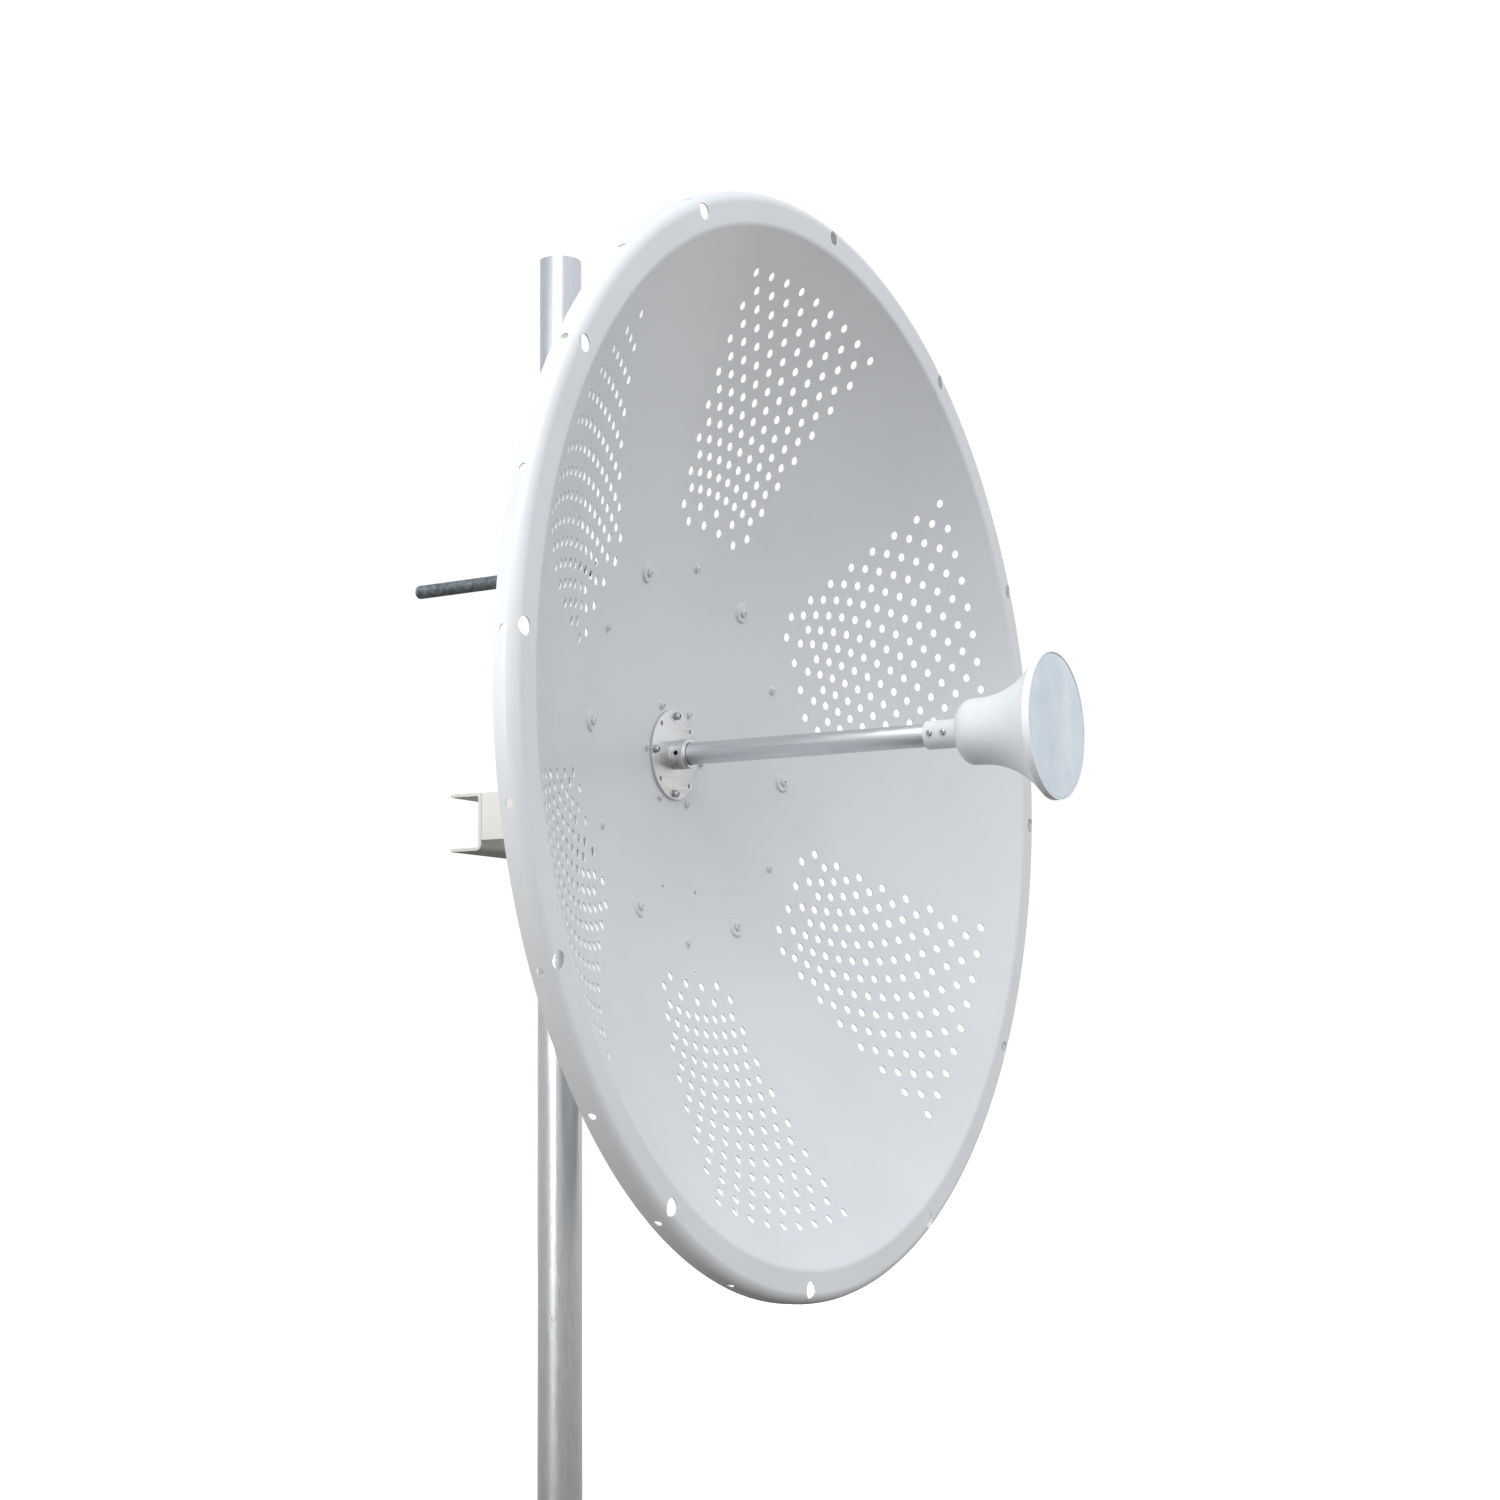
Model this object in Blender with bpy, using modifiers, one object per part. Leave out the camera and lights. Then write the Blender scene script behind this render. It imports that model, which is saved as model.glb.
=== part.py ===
"""Perforated prime-focus satellite dish on a mast, metres, +Z up.

The origin is the centre of the mast's bottom end and Z is the mast's axis.
The dish looks along -Y.  Pieces that belong to the dish are laid out in dish
coordinates: x to the side, y up and z forward along the boresight, measured
from the vertex of the paraboloid, and turned into place by DISH.
"""
import math
import bpy
import bmesh
from mathutils import Matrix, Vector

# ---------------------------------------------------------------- dimensions
MAST_OD = 0.0508
MAST_WALL = 0.0032
MAST_LEN = 1.501

VERTEX_Y = -0.151          # vertex of the paraboloid in front of the mast axis
VERTEX_Z = 0.900
ROLL = math.radians(-4.35)      # the pressing sits a little turned on its frame
SCREW_ROLL = math.radians(-3.5)  # and so does the back frame
FEED_ROLL = math.radians(-3.0)  # so does the feed flange

# reflector: z = r^2 / 4F + C4 r^4, a flat seat in the middle, a lip, a wall
FOCAL = 0.4435
C4 = 0.116
SHEET = 0.0013
SEAT_R = 0.0520
BORE_R = 0.0142
BEND_START_R = 0.5630
BEND_RADIUS = 0.0100
LIP_END_R = 0.5890
SHOULDER_RADIUS = 0.0125
WALL_BACK_Z = 0.1690
STEPS = 48

LIP_HOLE_R = 0.5860
LIP_HOLE_DIA = 0.0180
LIP_HOLES = 12

FRAME_SCREW_R = 0.2143     # large and small screws of the back frame
HUB_SCREW_R = 0.0600
FLANGE_SCREW_R = 0.0445

RING_T = 0.0040
RING_IN_R = 0.1960
RING_OUT_R = 0.2340
HUB_PLATE_R = 0.0740

# feed
FLANGE_R = 0.0510
FLANGE_T = 0.0030
HUB_R = 0.0170
HUB_LEN = 0.0200
BOOM_R = 0.0125
BOOM_WALL = 0.0018
BOOM_BACK_Z = -0.0220
BOOM_FRONT_Z = 0.3520
HORN_R = 0.0780
HORN_FRONT_Z = 0.4670
COLLAR_R = 0.0155
COLLAR_BACK_Z = 0.3185
HORN_WALL = 0.0025

# back frame and elevation pivot
SPINE_HALF = 0.0375
SPINE_T = 0.0040
SPINE_BACK_Z = -0.0200
PIVOT_Z = -0.0750          # pivot behind the vertex
PIVOT_H = -0.0700          # pivot below the boresight
YOKE_HALF = 0.1175
PIVOT_HOLE_R = 0.0063
M12_R = 0.0060

# elevation rod
ROD_X = -0.0470
ROD_R = 0.0080
ROD_EYE_Z = -0.0350        # eye behind the vertex
ROD_EYE_H = 0.2145
ROD_SLOPE = math.radians(0.75)
ROD_LEN = 0.2847
EYE_R = 0.0130

# mast bracket
CHANNEL_HALF = 0.1220
CHANNEL_TOP = -0.0425
CHANNEL_H = 0.0655
CHANNEL_WEB_Y = 0.0257     # front face of the web, row frame
CHANNEL_DEPTH = 0.0415
CHANNEL_T = 0.0040
CHEEK_H = 0.0536
UBOLT_R = 0.0312           # centre line of the bend round the mast
UBOLT_ROD = 0.0050
LOWER_UBOLT_H = -0.0752
UPPER_UBOLT_H = 0.2430     # above the rod, which swings down in the plate's slot
CLAMP_T = 0.0050

GAP = 0.0003
HEAD_GAP = 0.0007          # under a screw head on the curved sheet

# dish coordinates (x side, y up, z forward) to the frame of the part
DISH = Matrix.Translation((0.0, VERTEX_Y, VERTEX_Z)) @ Matrix.Rotation(math.pi / 2, 4, 'X')

# ---------------------------------------------------------------- scene tools
for ob in list(bpy.data.objects):
    bpy.data.objects.remove(ob, do_unlink=True)

scene = bpy.context.scene
PARTS = bpy.data.collections.new("satellite_dish")
CUTTERS = bpy.data.collections.new("cutters")
scene.collection.children.link(PARTS)
scene.collection.children.link(CUTTERS)


def material(name, colour, roughness, metallic):
    m = bpy.data.materials.new(name)
    m.use_nodes = True
    b = m.node_tree.nodes["Principled BSDF"]
    b.inputs["Base Color"].default_value = (*colour, 1.0)
    b.inputs["Roughness"].default_value = roughness
    b.inputs["Metallic"].default_value = metallic
    return m


PAINT = material("dish_paint", (0.62, 0.64, 0.66), 0.45, 0.0)
CREAM = material("bracket_paint", (0.76, 0.75, 0.69), 0.5, 0.0)
GALV = material("galvanised_steel", (0.45, 0.48, 0.51), 0.35, 1.0)
DARK = material("rod_steel", (0.22, 0.24, 0.25), 0.5, 1.0)
STAINLESS = material("stainless_steel", (0.6, 0.6, 0.6), 0.25, 1.0)
ALUMINIUM = material("satin_aluminium", (0.78, 0.79, 0.81), 0.35, 1.0)
PLASTIC = material("white_plastic", (0.85, 0.86, 0.88), 0.4, 0.0)
COVER = material("cover_plastic", (0.68, 0.73, 0.78), 0.12, 0.0)
BLACK = material("black_oxide", (0.03, 0.03, 0.03), 0.4, 0.6)
BOARD = material("board_copper", (0.55, 0.33, 0.16), 0.4, 0.8)
BRASS = material("plated_brass", (0.7, 0.68, 0.6), 0.25, 1.0)
CABLE = material("line_jacket", (0.55, 0.45, 0.32), 0.45, 0.3)


def add(name, mesh, mat, matrix=None, cutter=False):
    ob = bpy.data.objects.new(name, mesh)
    (CUTTERS if cutter else PARTS).objects.link(ob)
    if matrix is not None:
        ob.matrix_world = matrix
    if cutter:
        ob.hide_render = True
        ob.display_type = 'WIRE'
    elif mat is not None:
        ob.data.materials.clear()
        ob.data.materials.append(mat)
    return ob


def turned(name, profile, mat, matrix, steps=24, closed=False, cutter=False):
    """A turned piece: (radius, height) pairs, spun about local Z."""
    me = bpy.data.meshes.new(name)
    verts = [(r, 0.0, z) for r, z in profile]
    edges = [(i, i + 1) for i in range(len(verts) - 1)]
    if closed:
        edges.append((len(verts) - 1, 0))
    me.from_pydata(verts, edges, [])
    ob = add(name, me, mat, matrix, cutter)
    sc = ob.modifiers.new("spin", 'SCREW')
    sc.axis = 'Z'
    sc.angle = 2 * math.pi
    sc.steps = steps
    sc.render_steps = steps
    sc.use_merge_vertices = True
    sc.merge_threshold = 0.00001
    sc.use_smooth_shade = True
    sc.use_normal_calculate = False
    return ob


def cylinder(name, radius, z0, z1, mat, matrix, segments=16, cutter=False):
    """A round bar along local Z from z0 to z1."""
    me = bpy.data.meshes.new(name)
    bm = bmesh.new()
    bmesh.ops.create_cone(bm, cap_ends=True, cap_tris=False, segments=segments,
                          radius1=radius, radius2=radius, depth=z1 - z0,
                          matrix=Matrix.Translation((0, 0, (z0 + z1) / 2)))
    bm.to_mesh(me)
    bm.free()
    ob = add(name, me, mat, matrix, cutter)
    me.shade_smooth()
    me.set_sharp_from_angle(angle=math.radians(40))
    return ob


def box(name, lo, hi, mat, matrix=None, cutter=False):
    """A block between two corners, in local coordinates."""
    me = bpy.data.meshes.new(name)
    size = Vector(hi) - Vector(lo)
    mid = (Vector(hi) + Vector(lo)) / 2
    bm = bmesh.new()
    bmesh.ops.create_cube(bm, size=1.0,
                          matrix=Matrix.Translation(mid) @ Matrix.Diagonal((*size, 1.0)))
    bm.to_mesh(me)
    bm.free()
    return add(name, me, mat, matrix, cutter)


def mesh_from_curve(name, curve_ob, mat, cutter=False):
    """Turn an evaluated curve object into a welded mesh object."""
    bpy.context.view_layer.update()
    dg = bpy.context.evaluated_depsgraph_get()
    me = bpy.data.meshes.new_from_object(curve_ob.evaluated_get(dg))
    bm = bmesh.new()
    bm.from_mesh(me)
    bmesh.ops.remove_doubles(bm, verts=bm.verts, dist=0.00001)
    bmesh.ops.dissolve_degenerate(bm, edges=bm.edges, dist=0.000001)
    bm.to_mesh(me)
    bm.free()
    world = curve_ob.matrix_world.copy()
    bpy.data.objects.remove(curve_ob, do_unlink=True)
    me.name = name
    return add(name, me, mat, world, cutter)


def plate(name, outlines, thickness, mat, matrix, cutter=False):
    """A flat plate in local XY, centred on local Z = 0.  The first outline is
    the edge and the others are holes."""
    cu = bpy.data.curves.new(name + "_outline", 'CURVE')
    cu.dimensions = '2D'
    cu.fill_mode = 'BOTH'
    cu.extrude = thickness / 2
    for pts in outlines:
        sp = cu.splines.new('POLY')
        sp.points.add(len(pts) - 1)
        for p, (x, y) in zip(sp.points, pts):
            p.co = (x, y, 0.0, 1.0)
        sp.use_cyclic_u = True
    ob = bpy.data.objects.new(name + "_outline", cu)
    PARTS.objects.link(ob)
    ob.matrix_world = matrix
    return mesh_from_curve(name, ob, mat, cutter)


def tube(name, points, radius, mat, matrix, resolution=2):
    """A bent round bar along a row of points."""
    cu = bpy.data.curves.new(name + "_path", 'CURVE')
    cu.dimensions = '3D'
    cu.bevel_depth = radius
    cu.bevel_resolution = resolution
    cu.use_fill_caps = True
    sp = cu.splines.new('POLY')
    sp.points.add(len(points) - 1)
    for p, q in zip(sp.points, points):
        p.co = (*q, 1.0)
    ob = bpy.data.objects.new(name + "_path", cu)
    PARTS.objects.link(ob)
    ob.matrix_world = matrix
    return mesh_from_curve(name, ob, mat)


def boolean(ob, cutter, operation='DIFFERENCE'):
    md = ob.modifiers.new(operation.lower(), 'BOOLEAN')
    md.operation = operation
    md.solver = 'EXACT'
    md.object = cutter
    return md


def circle(radius, n, cx=0.0, cy=0.0, turn=0.0):
    return [(cx + radius * math.cos(turn + 2 * math.pi * i / n),
             cy + radius * math.sin(turn + 2 * math.pi * i / n)) for i in range(n)]


def slot(cx, y0, y1, radius, n=6):
    """An upright slot with round ends, between centres y0 and y1."""
    top = [(cx + radius * math.cos(math.pi * i / n), y1 + radius * math.sin(math.pi * i / n))
           for i in range(n + 1)]
    low = [(cx - radius * math.cos(math.pi * i / n), y0 - radius * math.sin(math.pi * i / n))
           for i in range(n + 1)]
    return top + low


def rounded(x0, y0, x1, y1, radius, n=4):
    """A rectangle with round corners."""
    pts = []
    for cx, cy, a0 in ((x1 - radius, y1 - radius, 0), (x0 + radius, y1 - radius, 90),
                       (x0 + radius, y0 + radius, 180), (x1 - radius, y0 + radius, 270)):
        for i in range(n + 1):
            a = math.radians(a0 + 90 * i / n)
            pts.append((cx + radius * math.cos(a), cy + radius * math.sin(a)))
    return pts


# ---------------------------------------------------------------- dish shape
def dish_z(r):
    r = max(r, SEAT_R)
    return r * r / (4 * FOCAL) + C4 * r ** 4


def dish_slope(r):
    if r < SEAT_R:
        return 0.0
    return r / (2 * FOCAL) + 4 * C4 * r ** 3


def front_line(n_inner=3, n_outer=5, n_bend=2, n_shoulder=2):
    """The front of the sheet from the bore to the end of the wall, as
    (radius, height, tangent angle)."""
    pts = [(BORE_R, dish_z(0), 0.0), (SEAT_R, dish_z(0), 0.0)]
    radii = [SEAT_R + (FRAME_SCREW_R - SEAT_R) * i / n_inner for i in range(1, n_inner + 1)]
    radii += [FRAME_SCREW_R + (BEND_START_R - FRAME_SCREW_R) * i / n_outer
              for i in range(1, n_outer + 1)]
    for r in radii:
        pts.append((r, dish_z(r), math.atan(dish_slope(r))))
    r1, z1, a1 = pts[-1]
    cr = r1 + BEND_RADIUS * math.sin(a1)
    cz = z1 - BEND_RADIUS * math.cos(a1)
    for i in range(1, n_bend + 1):
        a = a1 * (1 - i / n_bend)
        pts.append((cr - BEND_RADIUS * math.sin(a), cz + BEND_RADIUS * math.cos(a), a))
    lip_z = cz + BEND_RADIUS
    for i in range(n_shoulder + 1):
        a = -math.pi / 2 * i / n_shoulder
        pts.append((LIP_END_R - SHOULDER_RADIUS * math.sin(a),
                    lip_z - SHOULDER_RADIUS + SHOULDER_RADIUS * math.cos(a), a))
    pts.append((LIP_END_R + SHOULDER_RADIUS, WALL_BACK_Z, -math.pi / 2))
    return pts


def back_line(line, t):
    return [(r + t * math.sin(a), z - t * math.cos(a)) for r, z, a in line]


def surface_frame(r, angle, offset=0.0):
    """Frame on the bowl at polar (r, angle): z along the surface's normal."""
    b = math.atan(dish_slope(r))
    m = (Matrix.Rotation(angle, 4, 'Z') @ Matrix.Translation((r, 0, dish_z(r)))
         @ Matrix.Rotation(-b, 4, 'Y') @ Matrix.Translation((0, 0, offset)))
    return DISH @ m


LINE = front_line()
LIP_Z = max(z for _, z, _ in LINE)

# ---------------------------------------------------------------- mast
MAST_R = MAST_OD / 2
mast = turned("mast_pipe",
              [(MAST_R, MAST_LEN), (MAST_R, 0.0), (MAST_R - MAST_WALL, 0.0),
               (MAST_R - MAST_WALL, MAST_LEN)],
              GALV, Matrix.Identity(4), steps=32, closed=True)

# ---------------------------------------------------------------- reflector
front = [(r, z) for r, z, _ in LINE]
back = back_line(LINE, SHEET)
reflector = turned("reflector", front + back[::-1], PAINT, DISH, steps=STEPS, closed=True)

for k in range(LIP_HOLES):
    a = ROLL + 2 * math.pi * k / LIP_HOLES
    m = DISH @ Matrix.Translation((LIP_HOLE_R * math.cos(a), LIP_HOLE_R * math.sin(a), 0))
    boolean(reflector, cylinder(f"cut_lip_{k}", LIP_HOLE_DIA / 2, LIP_Z - 0.02, LIP_Z + 0.01,
                                None, m, segments=10, cutter=True))

# ---------------------------------------------------------------- back ring
OFF = SHEET + 0.0012       # the sheet's back plus the powder coat and its facets


def behind(r, depth):
    b = math.atan(dish_slope(r))
    return (r + depth * math.sin(b), dish_z(r) - depth * math.cos(b))


back_ring = turned("back_ring",
                   [behind(RING_IN_R, OFF), behind(RING_OUT_R, OFF),
                    behind(RING_OUT_R, OFF + RING_T), behind(RING_IN_R, OFF + RING_T)],
                   CREAM, DISH, steps=STEPS, closed=True)

SEAT_BACK = dish_z(0) - SHEET
hub_plate = turned("hub_plate",
                   [(BORE_R, SEAT_BACK - GAP), (HUB_PLATE_R, SEAT_BACK - GAP),
                    (HUB_PLATE_R, SEAT_BACK - GAP - 0.004), (BORE_R, SEAT_BACK - GAP - 0.004)],
                   CREAM, DISH, steps=24, closed=True)


# ---------------------------------------------------------------- screws
def pan_profile(head_r, head_h, shank_r, length):
    """Pan head above local Z = 0 and shank below it."""
    return [(0.0, head_h), (head_r * 0.72, head_h), (head_r, head_h * 0.45), (head_r, 0.0),
            (shank_r, 0.0), (shank_r, -length), (0.0, -length)]


def fasten(name, frame, head_r, head_h, shank_r, length, mat, holed, steps=8):
    """A pan screw at a surface frame, and its clearance hole in each piece."""
    ob = turned(name, pan_profile(head_r, head_h, shank_r, length), mat,
                frame @ Matrix.Translation((0, 0, HEAD_GAP)), steps=steps)
    cut = cylinder("cut_" + name, shank_r + 0.0005, -length - 0.004, 0.006, None, frame,
                   segments=8, cutter=True)
    for h in holed:
        boolean(h, cut)
    return ob


for k in range(6):
    a = SCREW_ROLL + math.radians(60 * k)
    fasten(f"frame_screw_large_{k + 1}", surface_frame(FRAME_SCREW_R, a),
           0.0052, 0.0034, 0.0030, 0.012, PAINT, (reflector, back_ring))
for k in range(6):
    a = SCREW_ROLL + math.radians(30 + 60 * k)
    fasten(f"frame_screw_small_{k + 1}", surface_frame(FRAME_SCREW_R, a),
           0.0040, 0.0024, 0.0020, 0.010, PAINT, (reflector, back_ring), steps=8)
for k in range(6):
    a = SCREW_ROLL + math.radians(60 * k)
    fasten(f"hub_screw_{k + 1}", surface_frame(HUB_SCREW_R, a),
           0.0040, 0.0026, 0.0020, 0.0074, PAINT, (reflector, hub_plate), steps=8)

# ---------------------------------------------------------------- feed flange
FLANGE_BACK = dish_z(0) + GAP
FLANGE_FRONT = FLANGE_BACK + FLANGE_T
HUB_FRONT = FLANGE_FRONT + HUB_LEN
bore = BOOM_R + GAP
feed_flange = turned("feed_flange",
                     [(bore, HUB_FRONT), (HUB_R - 0.001, HUB_FRONT), (HUB_R, HUB_FRONT - 0.001),
                      (HUB_R, FLANGE_FRONT), (FLANGE_R, FLANGE_FRONT),
                      (FLANGE_R, FLANGE_BACK), (bore, FLANGE_BACK)],
                     ALUMINIUM, DISH, steps=32, closed=True)
for k in range(4):
    a = FEED_ROLL + math.radians(90 * k)
    m = DISH @ Matrix.Rotation(a, 4, 'Z') @ Matrix.Translation((FLANGE_SCREW_R, 0, FLANGE_FRONT))
    ob = turned(f"flange_screw_{k + 1}",
                [(0.0, 0.0048), (0.0038, 0.0048), (0.0043, 0.0040), (0.0043, 0.0),
                 (0.0025, 0.0), (0.0025, -0.014), (0.0, -0.014)],
                STAINLESS, m @ Matrix.Translation((0, 0, GAP)), steps=10)
    cut = cylinder(f"cut_flange_screw_{k + 1}", 0.0030, -0.018, 0.006, None, m, segments=10,
                   cutter=True)
    for piece in (feed_flange, reflector, hub_plate):
        boolean(piece, cut)
    a += math.radians(45)
    m = DISH @ Matrix.Rotation(a, 4, 'Z') @ Matrix.Translation((FLANGE_SCREW_R, 0, FLANGE_FRONT))
    boolean(feed_flange, cylinder(f"cut_spare_{k + 1}", 0.0026, -0.005, 0.003, None, m,
                                  segments=8, cutter=True))

# the grub screw sits in a radial hole on the near side of the hub
GRUB_Z = FLANGE_FRONT + 0.0098
radial = DISH @ Matrix.Translation((0, 0, GRUB_Z)) @ Matrix.Rotation(math.radians(-90), 4, 'Y')
cylinder("hub_grub_screw", 0.0025, BOOM_R + 0.0003, HUB_R - 0.0005, BLACK, radial, segments=10)
boolean(feed_flange, cylinder("cut_grub", 0.0029, BOOM_R - 0.0015, HUB_R + 0.004, None, radial,
                              segments=10, cutter=True))

# ---------------------------------------------------------------- boom and feed
boom = turned("boom_tube",
              [(BOOM_R, BOOM_FRONT_Z), (BOOM_R, BOOM_BACK_Z), (BOOM_R - BOOM_WALL, BOOM_BACK_Z),
               (BOOM_R - BOOM_WALL, BOOM_FRONT_Z)],
              ALUMINIUM, DISH, steps=24, closed=True)


def horn_outer():
    """Outside of the horn from the front rim back to the collar."""
    pts = [(HORN_R, HORN_FRONT_Z), (HORN_R, HORN_FRONT_Z - 0.0085)]
    # the flare closes in on the throat along a falling curve
    z_throat, z_rim, r_throat, r_rim = 0.3750, HORN_FRONT_Z - 0.0085, 0.0355, HORN_R - 0.001
    for i in range(1, 6):
        u = 1 - i / 5
        pts.append((r_throat + (r_rim - r_throat) * u ** 2.35,
                    z_throat + (z_rim - z_throat) * u))
    for i in range(1, 4):
        a = math.radians(90 * i / 3)
        pts.append((0.0215 + 0.014 * math.cos(a), 0.3740 - 0.014 * math.sin(a)))
    pts += [(COLLAR_R, 0.3600), (COLLAR_R, COLLAR_BACK_Z)]
    return pts


def horn_inner(outer):
    """Inside of the horn, from the collar's back to the seat of the cover."""
    bore_r = BOOM_R + GAP
    pts = [(bore_r, COLLAR_BACK_Z), (bore_r, 0.3630)]
    for r, z in reversed(outer[2:-3]):
        pts.append((r - HORN_WALL, min(z + HORN_WALL * 0.8, HORN_FRONT_Z - 0.009)))
    pts += [(HORN_R - 0.0055, HORN_FRONT_Z - 0.0062), (HORN_R - 0.0055, HORN_FRONT_Z - 0.0032),
            (HORN_R - 0.0016, HORN_FRONT_Z - 0.0032), (HORN_R - 0.0016, HORN_FRONT_Z)]
    return pts


outer = horn_outer()
inner = horn_inner(outer)
horn = turned("feed_horn", outer + inner, PLASTIC, DISH, steps=28, closed=True)
turned("feed_cover",
       [(0.0, HORN_FRONT_Z), (HORN_R - 0.0026, HORN_FRONT_Z),
        (HORN_R - 0.0020, HORN_FRONT_Z - 0.0006),
        (HORN_R - 0.0020, HORN_FRONT_Z - 0.0029), (0.0, HORN_FRONT_Z - 0.0029)],
       COVER, DISH, steps=28)

# two collar screws on the near side
for k, z in enumerate((0.3270, 0.3430)):
    m = (DISH @ Matrix.Rotation(math.radians(179), 4, 'Z') @ Matrix.Translation((0, 0, z))
         @ Matrix.Rotation(math.radians(90), 4, 'Y'))
    turned(f"collar_screw_{k + 1}",
           [(0.0, COLLAR_R + 0.0022), (0.0024, COLLAR_R + 0.0022), (0.0034, COLLAR_R + 0.0010),
            (0.0034, COLLAR_R + GAP), (0.0016, COLLAR_R + GAP), (0.0016, BOOM_R + 0.0005),
            (0.0, BOOM_R + 0.0005)],
           STAINLESS, m, steps=8)
    boolean(horn, cylinder(f"cut_collar_{k + 1}", 0.0019, BOOM_R - 0.002, COLLAR_R + 0.003, None,
                           m, segments=8, cutter=True))

# inside the horn: the crossed radiator board
arm, half = 0.0260, 0.0048
cross = [(half, half), (half, arm), (-half, arm), (-half, half), (-arm, half), (-arm, -half),
         (-half, -half), (-half, -arm), (half, -arm), (half, -half), (arm, -half), (arm, half)]
turn45 = [(x * math.cos(math.pi / 4) - y * math.sin(math.pi / 4),
           x * math.sin(math.pi / 4) + y * math.cos(math.pi / 4)) for x, y in cross]
plate("radiator_cross", [turn45], 0.0016, BOARD, DISH @ Matrix.Translation((0, 0, 0.3980)))

# two coaxial lines run the length of the boom side by side, inside its bore
LINE_R = 0.0029
for name, y in (("coax_line_h", 0.0034), ("coax_line_v", -0.0034)):
    z0, z1 = BOOM_BACK_Z + 0.0004, 0.3640
    pts = [(0.0, y, z0 + (z1 - z0) * i / 6) for i in range(7)]
    tube(name, pts, LINE_R, CABLE, DISH)

# connector plate behind the boom, with two threaded coaxial connectors
PLATE_R = 0.0260
plate("connector_plate", [circle(PLATE_R, 28)], 0.0040, ALUMINIUM,
      DISH @ Matrix.Translation((0, 0, BOOM_BACK_Z - GAP - 0.0020)))
CONN_TOP = BOOM_BACK_Z - 2 * GAP - 0.0040
for name, x in (("connector_h", -0.0130), ("connector_v", 0.0130)):
    turned(name,
           [(0.0, CONN_TOP), (0.0105, CONN_TOP), (0.0105, CONN_TOP - 0.0040),
            (0.0079, CONN_TOP - 0.0040), (0.0079, CONN_TOP - 0.0190),
            (0.0062, CONN_TOP - 0.0190), (0.0062, CONN_TOP - 0.0100),
            (0.0, CONN_TOP - 0.0100)],
           BRASS, DISH @ Matrix.Translation((x, 0, 0)), steps=16)

# ---------------------------------------------------------------- spine and yoke
SPINE_TOP, SPINE_LOW = 0.2420, -0.2360
spine = box("back_spine", (-SPINE_HALF, SPINE_LOW, SPINE_BACK_Z), (SPINE_HALF, SPINE_TOP, 0.045),
            CREAM, DISH)
inner_half = SPINE_HALF - SPINE_T
boolean(spine, box("cut_spine_inside", (-inner_half, SPINE_LOW - 0.01, SPINE_BACK_Z + SPINE_T),
                   (inner_half, SPINE_TOP + 0.01, 0.06), None, DISH, cutter=True))
# the edges of its sides follow the back of the bowl
clear = OFF + RING_T + 0.0005
seat_r = HUB_PLATE_R + 0.006
edge = [behind(seat_r + (0.30 - seat_r) * i / 6, clear) for i in range(7)]
flat_z = dish_z(0) - clear
boolean(spine, turned("cut_spine_bowl",
                      [(0.0, 0.12), (edge[-1][0], 0.12)] + edge[::-1]
                      + [(edge[0][0], flat_z), (0.0, flat_z)],
                      None, DISH, steps=STEPS, cutter=True))
boolean(spine, cylinder("cut_spine_centre", 0.0285, SPINE_BACK_Z - 0.01, SPINE_BACK_Z + 0.01,
                        None, DISH, segments=24, cutter=True))
# an ear on its near side carries the eye of the elevation rod
boolean(spine, box("spine_ear", (-SPINE_HALF, ROD_EYE_H - 0.0140, ROD_EYE_Z - 0.0140),
                   (-inner_half, ROD_EYE_H + 0.0140, SPINE_BACK_Z + 0.006), None, DISH,
                   cutter=True), 'UNION')
side_on = DISH @ Matrix.Rotation(math.radians(90), 4, 'Y')   # local z along the pivots
boolean(spine, cylinder("cut_spine_ear", PIVOT_HOLE_R, -0.050, -0.020, None,
                        DISH @ Matrix.Translation((0, ROD_EYE_H, ROD_EYE_Z))
                        @ Matrix.Rotation(math.radians(90), 4, 'Y'), segments=16, cutter=True))

YOKE_FRONT = SPINE_BACK_Z - GAP
yoke = box("pivot_yoke", (-YOKE_HALF, PIVOT_H - 0.030, PIVOT_Z - 0.018),
           (YOKE_HALF, PIVOT_H + 0.030, YOKE_FRONT), CREAM, DISH)
boolean(yoke, box("cut_yoke_inside", (-YOKE_HALF + 0.004, PIVOT_H - 0.04, PIVOT_Z - 0.03),
                  (YOKE_HALF - 0.004, PIVOT_H + 0.04, YOKE_FRONT - 0.004), None, DISH,
                  cutter=True))
pivot = DISH @ Matrix.Translation((0, PIVOT_H, PIVOT_Z)) @ Matrix.Rotation(math.radians(90), 4, 'Y')
boolean(yoke, cylinder("cut_yoke_pivot", PIVOT_HOLE_R, -0.12, 0.12, None, pivot, segments=16,
                       cutter=True))


# ---------------------------------------------------------------- bolts and nuts
def hex_nut(name, across, thick, hole_r, mat, matrix, n=12):
    """A hexagon nut with its bottom face on local Z = 0."""
    corner = across / 2 / math.cos(math.pi / 6)
    return plate(name, [circle(corner, 6), circle(hole_r, n)], thick, mat,
                 matrix @ Matrix.Translation((0, 0, thick / 2)))


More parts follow.
